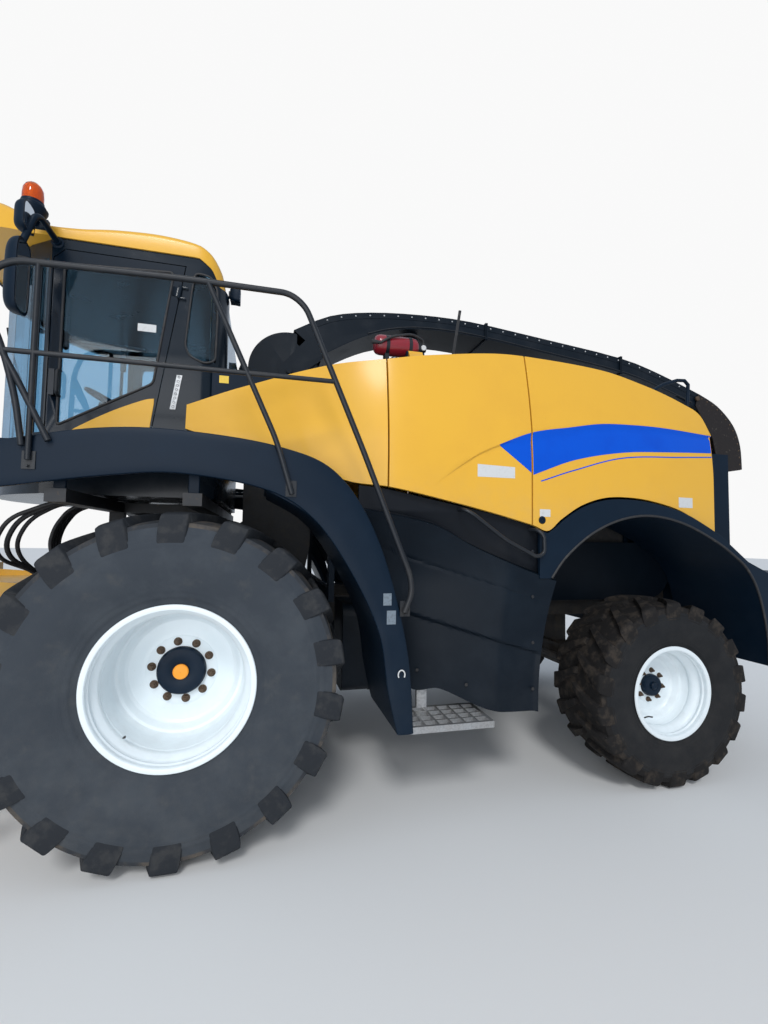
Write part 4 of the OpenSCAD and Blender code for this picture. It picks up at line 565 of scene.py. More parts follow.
# CAD nodes that stay as they are, and those that get rounded edges of the width given
plainNodes = dict(cabGlass=["cab_glass", "door_glass"], rollSteel=["upper_feed_roll", "lower_feed_roll"],
                  rodChrome=["track_rod", "steering_piston", "feeder_pistons", "spout_piston"])
roundedNodes = dict(
    cabBlack=dict(cab_shell=0.008), blackGlass=dict(cab_door=0.008), wornSheet=dict(deflector=0.002),
    spoutSheet=dict(spout_elbow=0.003, spout_chute=0.003), goldenPaint=dict(rear_grille=0.004, feeder_housing=0.003),
    darkPlastic=dict(rear_body=0.01, rear_fenders=0.005, hood_deck=0.004, controls=0.005),
    underSteel=dict(frame=0.004, front_axle=0.006, rear_axle=0.005, chopper_housing=0.004, knuckle_left=0.004,
                    knuckle_right=0.004),
    castIron=dict(engine=0.012), skirtPlastic=dict(fuel_tanks=0.012), galvanised=dict(service_steps=0.002),
    blackSteel=dict(ladder=0.003, feeder_barrels=0.002, steering_barrel=0.002, spout_barrel=0.002))
for finishName, nodeNames in plainNodes.items():
    for nodeName in nodeNames:
        frame["nodes"][nodeName].data.materials.clear()
        frame["nodes"][nodeName].data.materials.append(finishes[finishName])
for finishName, widths in roundedNodes.items():
    for nodeName, edgeWidth in widths.items():
        softened(nodeName, edgeWidth, finishName, 40 if nodeName == "rear_fenders" else 32)
print("CAD nodes dressed")

sides = (("left", lambda s: s), ("right", mirrored))

# side panels: tables of (x, height or half width)
panels = dict(bottomTuck=0.014, creaseRise=0.016, thickness=0.034, edge=0.005, stripeLift=0.0009, seam1=-1.19,
              seam2=-2.19, tail=-3.78, front=0.06, gap=0.01, hingeY=1.25, hingeZ=2.98, top=3.02)
topDrop = [(-3.78, 0.46), (-3.7, 0.31), (-3.56, 0.24), (-3.17, 0.12), (-2.82, 0.04), (-2.19, 0), (-1.92, 0.01),
           (-1.45, 0.08), (-1.19, 0.13), (-0.8, 0.18), (-0.28, 0.32), (0.06, 0.46)]
sillLine = [(-3.78, 1.79), (-3.61, 1.88), (-3.43, 1.96), (-3.17, 2.02), (-2.97, 2.04), (-2.76, 2.03), (-2.57, 1.97),
            (-2.41, 1.87), (-2.31, 1.79), (-2.2, 1.825), (-1.84, 1.915), (-1.48, 1.99), (-1.19, 2.045),
            (-0.95, 2.075), (0.06, 2.4)]
halfWidth = [(-3.78, 1.4), (-3.2, 1.45), (-1.59, 1.45), (-1.25, 1.44), (-1.0, 1.38), (-0.7, 1.27), (-0.3, 1.125),
             (0.06, 1.072)]
creaseLine = [(-3.9, 2.55), (-3.3, 2.572), (-3.04, 2.573), (-2.75, 2.56), (-2.49, 2.515), (-2.2, 2.459),
              (-1.95, 2.36), (-1.765, 2.27), (-1.41, 2.017), (-1.2, 1.85)]
stripeLow = [(-3.9, 2.425), (-3.756, 2.417), (-3.272, 2.387), (-2.994, 2.369), (-2.731, 2.331), (-2.486, 2.274),
             (-2.261, 2.19), (-2.2, 2.166)]
thinLine = [(-3.9, 2.396), (-3.773, 2.387), (-3.424, 2.36), (-2.905, 2.32), (-2.485, 2.204), (-2.276, 2.133),
            (-2.25, 2.125)]


def hoodZ(x):
    return panels["top"] - tableCurve(topDrop, x)


def panelY(x, z):
    # half width at a height: the plan, less a tuck that grows to 120 mm at the top, less a step under the crease
    base = tableCurve(halfWidth, x) - 0.12 * np.maximum(0, (z - 2.2) / 0.82) ** 1.7
    below = eased((tableCurve(creaseLine, x) - z) / panels["creaseRise"])
    return base - panels["bottomTuck"] * below * eased((-1.45 - x) / 0.35)


def panelSheet(x0, x1, nx, nz=22):
    # rows in x and columns in z that follow the sill, the crease and the hood line
    x = np.linspace(x0, x1, nx)[:, None]
    low, high, rise = tableCurve(sillLine, x), hoodZ(x), panels["creaseRise"]
    crease = np.clip(tableCurve(creaseLine, x), low + 0.06, high - 0.06)
    t = np.linspace(0, 1, nz)[None, :]
    step = np.linspace(0, 1, 5)[None, :-1]
    z = np.concatenate([low + (crease - rise - low) * t[:, :-1], crease - rise + rise * step,
                        crease + (high - crease) * t], 1)
    return sheetShape(np.stack([x + 0 * z, panelY(x, z), z], -1), (0, -panels["thickness"], 0))


def panelPatch(x, low, high, nz=6):
    # a thin film over the panels between two heights at each x
    z = low[:, None] + (high - low)[:, None] * np.linspace(0, 1, nz)[None]
    x, lift = x[:, None], panels["stripeLift"]
    return sheetShape(np.stack([x + 0 * z, panelY(x, z) + lift, z], -1), (0, -0.6 * lift, 0))


def label(x0, x1, nx, low, high, slope=0.0):
    x = np.linspace(x0, x1, nx)
    return panelPatch(x, low + 0 * x, high + slope * (x + 1.9), 4)


def hingeLeaf(x, half=0.05):
    # a turned knuckle on the pin's line and a leaf from it to the panel's inner face
    y0, z0 = panels["hingeY"], panels["hingeZ"]
    z = min(z0, float(hoodZ(x)) - 0.03)
    y1 = float(panelY(x, z)) - panels["thickness"] + 0.002
    knuckle = latheShape([(-half, 0.0085), (-half, 0.016), (half, 0.016), (half, 0.0085)], (x, y0, z0), 28, "x")
    outline = [(y0, z0 - 0.008), (y0 + 0.008, z0 + 0.008), (y1, z + 0.012), (y1, z - 0.012)]
    return [knuckle, plateShape(outline, x - half, x + half, "yz")]


def buildPanels():
    half, seam1, seam2, edge = panels["gap"] / 2, panels["seam1"], panels["seam2"], panels["edge"]
    front = panelSheet(seam1 + half, panels["front"], 60)
    makePiece("frontPanels", both(front), "goldenPaint", edge, stands="front_panels")
    covers = [("mid", [panelSheet(seam2 + half, seam1 - half, 50), *hingeLeaf(-1.41), *hingeLeaf(-2.03)]),
              ("rear", [panelSheet(panels["tail"], seam2 - half, 80), *hingeLeaf(-2.35), *hingeLeaf(-2.97)])]
    fine = np.linspace(-2.183, -1.945, 22)
    wide, narrow = (np.linspace(-3.775, end, 90) for end in (-2.197, -2.255))
    under = lambda x: tableCurve(creaseLine, x) - 0.002
    thin = tableCurve(thinLine, narrow)
    stripes = dict(mid=[panelPatch(fine, np.interp(fine, [-2.2, -1.945], [2.166, 2.355]), under(fine))],
                   rear=[panelPatch(wide, tableCurve(stripeLow, wide), under(wide), 8),
                         panelPatch(narrow, thin - 0.005, thin + 0.004, 3)])
    # blank stickers, and the round lock beside the seam
    sticker = [label(-2.06, -1.79, 8, 2.135, 2.215, 0.03)]
    labels = [label(-3.55, -3.41, 6, 1.985, 2.06), label(-2.325, -2.245, 5, 1.885, 1.935)]
    lock = [knobShape([(-0.002, 0.026), (0.004, 0.026), (0.007, 0.022), (0.007, 0.012), (0.004, 0.01)],
                      (-2.262, float(panelY(-2.255, 1.86)), 1.862), 40)]
    for side, turn in sides:
        tag = side.title()
        for part, shapes in covers:
            body = part + "_cover_" + side
            makePiece(part + "Panel" + tag, [turn(s) for s in shapes], "goldenPaint", edge, body,
                      stands=part + "_panel_" + side)
            makePiece(part + "Stripe" + tag, [turn(s) for s in stripes[part]], "blueStripe", body=body)
        trims = (("sticker", sticker, "blankPlate", "mid"), ("labels", labels, "blankPlate", "rear"),
                 ("panelLock", lock, "darkPlastic", "rear"))
        for name, shapes, mat, part in trims:
            makePiece(name + tag, [turn(s) for s in shapes], mat, body=part + "_cover_" + side)
    print("panels built")


buildPanels()

# wheels
wheels = dict(
    front=dict(x=0.0, mid=1.25, z=0.9265, d=1.853, w=0.8, rimD=0.864, rimW=0.7, disc=1.216, lugs=18, hub=0.2,
               cap=0.139, capOut=0.05, hubIn=1.1803, bolts=10, boltR=0.018, lugHeight=0.04, pitch=0.1675,
               rubber="tyreRubber", tread="wornTread", valley="valleyEarth", middle="orangeCap"),
    # the rear wheels take the darker rubber and tread, with painted shade from the body above them
    rear=dict(x=rearX, mid=1.22, z=0.656, d=1.312, w=0.54, rimD=0.66, rimW=0.49, disc=1.233, lugs=18, hub=0.13,
              cap=0.082, capOut=0.046, hubIn=1.1633, bolts=8, boltR=0.014, lugHeight=0.032, pitch=0.108,
              rubber="shadedRearRubber", tread="shadedRearTread", valley="shadedRearTread", middle="darkPlastic"))
# a lug's stations: part of the tyre's width, drop in metres and in diameters, turn in pitches, half width
lugStations = np.array([
    (-0.02, 0.001, 0, 0.62, 0.025), (0.02, 0, 0, 0.58, 0.027), (0.12, 0.0005, 0, 0.44, 0.03),
    (0.25, 0.003, 0, 0.27, 0.037), (0.37, 0.008, 0, 0.13, 0.047), (0.44, 0.013, 0, 0.03, 0.057),
    (0.47, 0.02, 0, -0.01, 0.063), (0.482, 0.034, 0, -0.03, 0.066), (0.489, 0, 0.055, -0.06, 0.067),
    (0.4932, 0, 0.09, -0.085, 0.063), (0.492, 0, 0.107, -0.095, 0.054), (0.48, 0, 0.135, -0.105, 0.038)])
# a lug's section: part of the half width, part of the depth
lugSection = np.array([(-1.28, 1), (-1.07, 0.16), (-1.01, 0.035), (-0.92, 0), (0.92, 0), (1.01, 0.035), (1.07, 0.16),
                       (1.28, 1)])
# the rim's section from the disc over the barrel to both lips, each row from the disc or a lip and from the bead
rimDish = [(-0.004, -0.119), (0.001, -0.11), (0.006, -0.102), (0.012, -0.098), (0.04, -0.084), (0.046, -0.078),
           (0.05, -0.064), (0.062, -0.054), (0.088, -0.046)]
rimLip = [(-0.15, -0.046), (-0.142, -0.041), (-0.134, -0.041), (-0.126, -0.046), (-0.112, -0.046), (-0.098, -0.04),
          (-0.078, -0.022), (-0.072, -0.016), (-0.064, -0.013), (-0.05, -0.019), (-0.042, -0.019), (-0.034, -0.012),
          (-0.01, -0.012), (-0.003, -0.008), (0, -0.001), (-0.001, 0.0165), (-0.006, 0.0205), (-0.011, 0.0175),
          (-0.0135, 0.004), (-0.0135, 0)]
rimBack = [(0.0135, 0), (0.0135, 0.0175), (0.007, 0.0205), (0, 0.0155), (0, -0.012), (0.06, -0.012), (0.1, -0.046)]


def tyreOutline(w):
    # radius over the distance from the tyre's middle, from bead to crown, with fine ridges on the sidewall
    crown, bead, flange = w["d"] / 2 - w["lugHeight"], w["rimD"] / 2 - 0.02, w["rimD"] / 2 + 0.001
    foot, shoulder = w["rimW"] / 2 - 0.014, 0.46 * w["w"]
    edge = crown - 0.015 * w["d"]
    swell = w["w"] / 2 - (foot + shoulder) / 2 - 0.0016
    t = np.linspace(0, 1, 40)
    r, y = flange + t * (edge - flange), foot + t * (shoulder - foot) + swell * np.sin(pi * t)
    for at, rise, wide in ((0.1, 0.0035, 0.014), (0.17, 0.0035, 0.014), (0.74, 0.0035, 0.014), (0.82, 0.0035, 0.014),
                           (0.05, -0.004, 0.02)):
        y = y + rise * np.exp(-((t - at) / wide) ** 2)
    s = np.linspace(1, 0, 12)
    top = np.stack([crown - (crown - edge) * s ** 3, shoulder * s], -1)[1:]
    half = np.concatenate([[[bead, foot]], np.stack([r, y], -1), top])
    return np.concatenate([half[:, ::-1], (half[:-1, ::-1] * [-1, 1])[::-1]])


def lugShape(w, side, deep=0.062):
    # one bar that leaves the tread's middle, bends back and runs over the shoulder; its flanks spread to the carcass
    across, drop, part, turn, half = lugStations.T
    st = splinePath(np.stack([across, w["d"] / 2 - drop - part * w["d"], turn, half], -1), 3)[:, :, None]
    out, down = lugSection[None, :, 0], lugSection[None, :, 1]
    r = st[:, 1] - down * deep
    a = st[:, 2] * 2 * pi / w["lugs"] + out * st[:, 3] * (0.75 + 0.25 * w["w"] / 0.8) / st[:, 1]
    y = side * (st[:, 0] * w["w"] - down * 0.035 * eased((st[:, 0] - 0.44) / 0.04))
    return gridShape(capped(np.stack([r * np.cos(a), y, r * np.sin(a)], -1)), closeV=True)


def turnsAboutY(n, start):
    a = start + np.arange(n) * 2 * pi / n
    c, s, o, i = np.cos(a), np.sin(a), 0 * a, 0 * a + 1
    return np.stack([np.stack([c, o, s], -1), np.stack([o, i, o], -1), np.stack([-s, o, c], -1)], 1)


def rimOutline(w):
    h, disc, hub = w["rimW"] / 2, w["disc"] - w["mid"], w["hub"]
    bead = w["rimD"] / 2 - 0.0205
    ring = hub + 0.3 * (bead - 0.109 - hub)
    rows = [[(disc, hub - 0.02), (disc, ring), (disc - 0.004, ring + 0.008)]]
    back = [(0.018, -0.046), (-0.02, -0.094)]
    rows += [np.array(table) + [start, bead] for table, start in (
        (rimDish, disc), (rimLip, h), ([(0, 0)], -0.2 * h), (rimBack, -h), (back, disc))]
    return np.concatenate(rows + [[(disc - 0.02, hub - 0.02)]])


def boltShapes(r):
    # a hexagon head on a washer, and a stud, standing on y = 0
    a = np.arange(6) * pi / 3
    head = np.array([(0.0, 0.001), (0.0, 1.0), (0.0135, 1.0), (0.0155, 0.86), (0.0155, 0.001)])[:, :, None]
    p = np.stack([r * np.cos(a) * head[:, 1], head[:, 0] + 0 * a + 0.004, r * np.sin(a) * head[:, 1]], -1)
    return [gridShape(p, closeV=True),
            knobShape([(-0.001, 1.35 * r), (0.004, 1.35 * r), (0.0045, 1.28 * r)]),
            knobShape([(0.018, 0.55 * r), (0.03, 0.55 * r), (0.032, 0.45 * r)], steps=16)]


def buildWheel(end, side, turn):
    w = wheels[end]
    tag, body = side.title(), end + "_wheel_" + side
    centre = np.array([w["x"], w["mid"], w["z"]])
    d, c, cap, lugs = w["disc"] - w["mid"], w["cap"], w["capOut"], w["lugs"]

    def add(name, shapes, mat, bevel=0, **more):
        return makePiece(end + name + tag, [turn(s) for s in shapes], mat, bevel, body, **more)

    carcass = add("Carcass", [latheShape(tyreOutline(w), centre, 144)], w["rubber"], smooth=50)
    # earth in the valleys between the lugs of the front wheels, and on the rear wheels the darker tread that carries
    # painted shade: faces beyond the shoulder take the second finish
    carcass.data.materials.append(finishes[w["valley"]])
    mids = np.empty(3 * len(carcass.data.polygons))
    carcass.data.polygons.foreach_get("center", mids)
    far = np.hypot(mids[0::3] - centre[0] - axleX, mids[2::3] - centre[2]) > w["d"] / 2 - w["lugHeight"] - 0.055
    carcass.data.polygons.foreach_set("material_index", far.astype(np.int32))
    add("Lugs", [stamped(lugShape(w, s), [centre] * lugs, turnsAboutY(lugs, -pi / 2 + shift))
                 for s, shift in ((1, 0), (-1, pi / lugs))], w["tread"], smooth=40, stands=end + "_tyre_" + side)
    add("Rim", [latheShape(rimOutline(w), centre, 144)], "rimPaint", smooth=28, stands=end + "_rim_" + side)
    # hub ring, black cover with its middle, and a ring of bolts
    inner = w["hubIn"] - w["mid"]
    hub = [(inner, w["hub"]), (d + 0.003, w["hub"]), (d + 0.005, w["hub"] - 0.003)]
    cover = [(d + 0.004, c - 0.002), (d + 0.01, c - 0.001), (d + 0.034, c - 0.004), (d + 0.045, c - 0.012),
             (d + cap, c - 0.03), (d + cap, c / 3 + 0.006), (d + cap - 0.004, c / 3)]
    k = c / 3 - 0.003
    middle = [(d + cap - 0.005, k), (d + cap + 0.008, k), (d + cap + 0.013, k - 0.006), (d + cap + 0.014, 0.001)]
    add("Hub", [knobShape(hub, centre, 96)], "rimPaint")
    add("HubCover", [knobShape(cover, centre, 96)], "darkPlastic")
    add("HubMiddle", [knobShape(middle, centre, 64)], w["middle"], slot="dark_plastic")
    a = np.arange(w["bolts"]) * 2 * pi / w["bolts"] + 0.15
    places = centre + np.stack([w["pitch"] * np.cos(a), 0 * a + d + 0.005, w["pitch"] * np.sin(a)], -1)
    add("Bolts", [stamped(s, places) for s in boltShapes(w["boltR"])], "rustyBolts", 0.0012)
    # valve stem by the well
    a = -0.85
    out = np.array([math.cos(a), 0, math.sin(a)])
    foot = centre + (w["rimD"] / 2 - 0.078) * out + [0, w["rimW"] / 2 - 0.1, 0]
    stem = [foot, foot - 0.02 * out + [0, 0.02, 0], foot - 0.03 * out + [0, 0.055, 0]]
    add("Valve", [tubeShape(stem, 0.005, 0.01, 12, (0.3, 0.2, 1))], "blackSteel", slot="dark_plastic")


for wheelEnd in ("front", "rear"):
    for sideName, sideTurn in sides:
        buildWheel(wheelEnd, sideName, sideTurn)
print("wheels built")

# fenders, skirts and rails: lines in X and Z
bodywork = dict(fenderY=1.58, sheet=0.03, cabY=1.0, deckZ=2.19, liner=0.88, skirtY=1.442, skirtThick=0.03,
                skirtStep=0.045, groove=0.007, seam=0.012, studGap=0.055, carriers=(-0.06, 0.6))
fenderUpper = [(1.01, 2.14), (0.83, 2.18), (0.4, 2.27), (0, 2.285), (-0.51, 2.23), (-0.85, 2.09), (-1.1, 1.71),
               (-1.28, 1.1), (-1.33, 0.58)]
fenderLower = [(1.01, 1.92), (0.82, 1.945), (0.37, 2.02), (0, 2.05), (-0.45, 1.98), (-0.72, 1.82), (-0.94, 1.52),
               (-1.11, 1.17), (-1.17, 0.83), (-1.23, 0.58)]
skirtLow = [(-2.23, 0.6), (-1.9, 0.62), (-1.6, 0.74), (-1.37, 0.78), (-1.25, 1.25), (-1.13, 1.5), (-1.01, 1.75)]
skirtRidge = [(-2.38, 1.44), (-2.03, 1.57), (-1.74, 1.69), (-1.53, 1.8), (-1.33, 1.85), (-1.0, 1.9)]


def studSpots(x0, x1, y0, y1, shift=0.0):
    # rows of spots on the deck, every second one moved by shift
    gap = bodywork["studGap"]
    x, y = np.meshgrid(np.arange(x0, x1, gap), np.arange(y0, y1, gap), indexing="ij")
    x = x + shift * (np.arange(y.shape[1])[None] % 2)
    return np.stack([x.ravel(), y.ravel(), 0 * x.ravel() + bodywork["deckZ"]], -1)


def buildFenders():
    b = bodywork
    deck, face, sheet, liner, cabY = b["deckZ"], b["fenderY"], b["sheet"], b["liner"], b["cabY"]
    upper, lower = along(splinePath(fenderUpper, 14), 130), along(splinePath(fenderLower, 14), 130)
    # the band's face is slightly crowned and rolls in at its lower lip
    t = np.linspace(0, 1, 14)
    band = upper[:, None] + (lower - upper)[:, None] * t[None, :, None]
    arch = along(splinePath(fenderLower[4:], 14), 70)
    y = np.linspace(liner, face - sheet + 0.001, 6)
    shapes = [sheetShape(upright(band, face - 0.01 * (2 * t - 1) ** 4), (0, -sheet, 0)),
              sheetShape(upright(arch[:, None] + 0 * y[None, :, None], y), (-sheet, 0, 0.6 * sheet)),
              boxShape((-0.48, cabY + 0.04, deck - sheet), (1.0, face - 0.029, deck)),
              boxShape((-0.481, liner + 0.15, 1.985), (-0.44, face - 0.029, deck))]
    shapes += [boxShape((x - 0.03, face - 0.13, 1.95), (x + 0.03, face - 0.11, 2.161)) for x in b["carriers"]]
    leftOnly = [boxShape((0.999, cabY + 0.14, 2.16), (1.54, face, deck)),
                boxShape((0.92, cabY + 0.04, 2.16), (1.0, cabY + 0.141, deck))]
    makePiece("fenders", both(*shapes) + leftOnly, "darkPlastic", 0.007, stands="front_fenders")
    # raised studs on the walkways
    stud = knobShape([(-0.001, 0.015), (0.002, 0.014), (0.0045, 0.01), (0.0055, 0.001)], steps=12, axis="z")
    walk = stamped(stud, studSpots(-0.44, 0.97, 1.075, 1.53, 0.0275))
    makePiece("walkwayStuds", both(walk) + [stamped(stud, studSpots(1.035, 1.53, 1.18, 1.55))], "galvanised")
    # small blank plates and a ring hook on the fender's rear leg
    plates = []
    for z0, z1, w in ((1.33, 1.4, 0.05), (1.22, 1.3, 0.055)):
        x0 = float(np.interp(z0, upper[::-1, 1][:60], upper[::-1, 0][:60])) + 0.045
        plates.append(boxShape((x0, face - 0.006, z0), (x0 + w, face + 0.0015, z1)))
    makePiece("fenderPlates", plates, "greyPlate", 0.001)
    a = np.linspace(-0.6, pi + 0.6, 24)
    ring = upright(np.stack([-1.245 + 0.02 * np.cos(a), 0.93 + 0.026 * np.sin(a)], -1), face + 0.01)
    makePiece("ringHook", sweepShape(ring, 0.004, 10), "blankPlate", slot="galvanised")


def skirtHollow(x, z):
    return 0.22 * np.clip((x + 1.95) / 0.6, 0, 1) * np.sin(pi / 2 * np.clip((1.9 - z) / 0.5, 0, 1))


def buildSkirts():
    # the skirt's face is hollowed at the foot and marked by a slanting pressed groove
    b = bodywork
    x = np.linspace(-2.23, -1.01, 64)[:, None]
    low, high = tableCurve(skirtLow, x), tableCurve(sillLine, x) - b["seam"]
    ridge = np.maximum(tableCurve(skirtRidge, x - 0.12 * eased((-1.6 - x) / 0.6)), low + 0.02)
    reach = 0.155 * ((-1.01 - x) / 1.22) ** 3
    z = np.concatenate([low + (ridge - low) * np.linspace(0, 1, 80)[None],
                        ridge + (high - ridge) * np.linspace(0, 1, 20)[None, 1:]], 1)
    groove = 1.72 - 0.44 * (x + 1.02) / -1.28
    y = b["skirtY"] - skirtHollow(x, z)
    y = y - b["groove"] * np.exp(-((z - groove) / 0.006) ** 2) * eased((-1.02 - x) / 0.1) * eased((x + 2.22) / 0.06)
    # the part under a lower line lies deeper, the part over the ridge too, and the rear edge leans back as it rises
    y = y - 0.022 * eased((1.28 - 0.3 * (x + 1.25) / -0.99 - z) / 0.018) * eased((x + 2.23) / 0.03)
    y = y - b["skirtStep"] * eased((z - ridge) / 0.016)
    outer = np.stack([x - reach * np.clip((z - 0.61) / 0.88, 0, 1) ** 2.2, y, z], -1)
    for name, part, mat, edge, node in (("skirts", outer[:, :81], "skirtPlastic", 0.005, "side_skirts"),
                                        ("skirtUppers", outer[:, 80:], "deepBlack", 0.003, None)):
        makePiece(name, both(sheetShape(part, (0, -b["skirtThick"], 0))), mat, edge, smooth=45, stands=node)
    # screws along the skirt's edges
    head = knobShape([(-0.001, 0.011), (0.003, 0.01), (0.005, 0.006), (0.0052, 0.001)], steps=16)
    spots = [(-2.19, z) for z in (0.75, 1.05, 1.35, 1.65)] + [(-1.75, 0.78), (-1.45, 0.86)]
    screws = stamped(head, [(x, b["skirtY"] - skirtHollow(x, z), z) for x, z in spots])
    makePiece("skirtScrews", both(screws), "blackSteel", slot="dark_plastic")


# guard rails and grips of round tube: lines in X and Z with the part of the radius each one has
rails = dict(r=0.017, y=1.5965, gripY=1.45, gripR=0.013)
leftRails = [([(0.96, 2.08), (0.94, 2.9), (0.89, 3.03), (0.8, 3.08), (0.02, 3.105), (-0.55, 3.105), (-0.64, 3.04),
               (-1.0, 2.21), (-1.29, 1.5), (-1.3, 1.4), (-1.255, 1.29)], 1), ([(0.935, 2.62), (-0.815, 2.62)], 0.8),
             ([(-0.11, 3.1), (-0.5, 2.25), (-0.59, 1.96)], 0.9), ([(0.7, 3.085), (0.7, 2.08)], 0.8),
             ([(0.73, 2.15), (0.765, 2.37), (0.8, 2.51), (0.845, 2.66), (0.93, 2.85)], 0.9),
             ([(0.615, 2.18), (0.69, 2.33), (0.765, 2.48), (0.83, 2.6), (0.935, 2.79)], 0.9)]
rightRails = [([(0.96, 2.08), (0.94, 3.0), (0.86, 3.09), (-0.35, 3.1), (-0.43, 3.03), (-0.44, 2.08)], 1),
              ([(0.95, 2.62), (-0.43, 2.62)], 0.8), ([(0.26, 3.09), (0.26, 2.08)], 0.8)]
gripLine = [(-1.68, -0.058, 1.915), (-1.68, 0.015, 1.915), (-1.73, 0.04, 1.89), (-1.97, 0.045, 1.72),
            (-2.19, 0.045, 1.615), (-2.245, 0.045, 1.64), (-2.25, 0.035, 1.755), (-2.215, 0.01, 1.795),
            (-2.19, -0.058, 1.795)]


def buildRails():
    left, right = ([tubeShape(upright(line, rails["y"]), rails["r"] * part, 0.09, 16) for line, part in table]
                   for table in (leftRails, rightRails))
    grip = tubeShape(np.array(gripLine) + [0, rails["gripY"], 0], rails["gripR"], 0.05, 16, (0, 0, 1))
    makePiece("rails", left + [mirrored(s) for s in right] + both(grip), "blackSteel", smooth=60, stands="handrails")
    # foot plates with bolts where the rails meet the fenders
    foot = lambda x, z: boxShape((x - 0.03, 1.5795, z - 0.045), (x + 0.03, 1.586, z + 0.045))
    feet = [mirrored(foot(x, 2.08)) for x in (0.945, 0.26, -0.44)]
    for x, z in ((0.945, 2.08), (0.7, 2.08), (-0.585, 1.99), (-1.262, 1.31)):
        feet += [foot(x, z)] + [moved(s, (x, 1.584, z + k)) for k in (-0.03, 0.03) for s in boltShapes(0.006)[:2]]
    makePiece("railFeet", feet, "blackSteel", 0.0012)


buildFenders()
buildSkirts()
buildRails()
print("fenders, skirts and rails built")

# cab
roofTop = [(-0.14, 3.4), (-0.11, 3.56), (0.01, 3.675), (0.25, 3.715), (0.52, 3.7), (0.76, 3.66), (0.96, 3.665),
           (1.2, 3.795), (1.42, 3.84), (1.64, 3.79)]
roofUnder = np.array([(-0.139, 3.399), (-0.111, 3.401), (-0.061, 3.501), (0.03, 3.566), (0.033, 3.561), (1.01, 3.561),
                      (1.3, 3.61), (1.65, 3.69)])


def buildRoof():
    # sections across the cab: a rounded rectangle between the roof's underside and its crown line
    top = splinePath(roofTop, 12)
    x = np.concatenate([-0.139 + 0.14 * np.linspace(0, 1, 12) ** 1.5, np.linspace(0.02, 1.45, 44),
                        1.45 + 0.198 * np.sin(pi / 2 * np.linspace(0.06, 1, 14))])
    order = np.argsort(top[:, 0])
    zTop = np.interp(x, top[order, 0], top[order, 1])
    zTop = np.where(x > 1.58, zTop - 0.045 * ((x - 1.58) / 0.07) ** 2, zTop)
    zLow = np.minimum(np.interp(x, roofUnder[:, 0], roofUnder[:, 1]), zTop - 0.002)
    w = np.where(x > 0.95, 0.31 + np.sqrt(np.maximum(0.49 - (x - 0.95) ** 2, 1e-4)), 1.01)
    w = np.where(x < 0.015, 0.845 + np.sqrt(np.maximum(0.165 ** 2 - (0.015 - x) ** 2, 1e-5)), w)
    a, flat, square = np.linspace(0, pi, 41), np.linspace(-0.96, 0.96, 12), 0.24
    across = np.concatenate([np.sign(np.cos(a)) * np.abs(np.cos(a)) ** square, flat])
    up = np.concatenate([np.abs(np.sin(a)) ** square, 0 * flat])
    x, w, zTop, zLow = x[:, None], w[:, None], zTop[:, None], zLow[:, None]
    p = np.stack([x + 0 * across, w * across, zLow + (zTop - zLow) * up], -1)
    makePiece("roof", gridShape(capped(p), closeV=True), "goldenPaint", smooth=50, stands="cab_roof")
    # dark band under the roof's front edge
    y = np.linspace(-0.62, 0.62, 30)
    strip = np.stack([0.92 + np.sqrt(0.49 - (0.9 * (np.abs(y) - 0.31).clip(0)) ** 2), y, 0 * y + 3.672], -1)
    makePiece("roofStrip", sweepShape(strip, 0.007, 10, (0, 0, 1)), "darkPlastic")


def jambX(z):
    return 0.27 - 0.1525 * (z - 2.42)


def sealShape(points, radius, y=1.001):
    # a closed rubber seal around a window, in a plane of constant y
    p = np.asarray(points, float)
    mid = [(p[0] + p[-1]) / 2]
    return tubeShape(upright(np.concatenate([mid, p, mid]), y), radius, 0.03, 10)


cabSide = dict(y=1.0, latchLow=2.53, latchHigh=2.76, latchBack=0.103, stripBack=1.955, armY=0.9, wiperReach=0.57)
doorPane = [(jambX(2.7) + 0.045, 2.69), (0.805, 2.38), (0.805, 3.4), (jambX(3.44) + 0.06, 3.44)]
quarterPane = [(0.09, 2.96), (0.06, 2.895), (-0.03, 2.855), (-0.1, 2.875), (-0.105, 3.16), (-0.098, 3.36),
               (-0.06, 3.44), (-0.01, 3.455), (0.044, 3.455), (0.06, 3.34)]


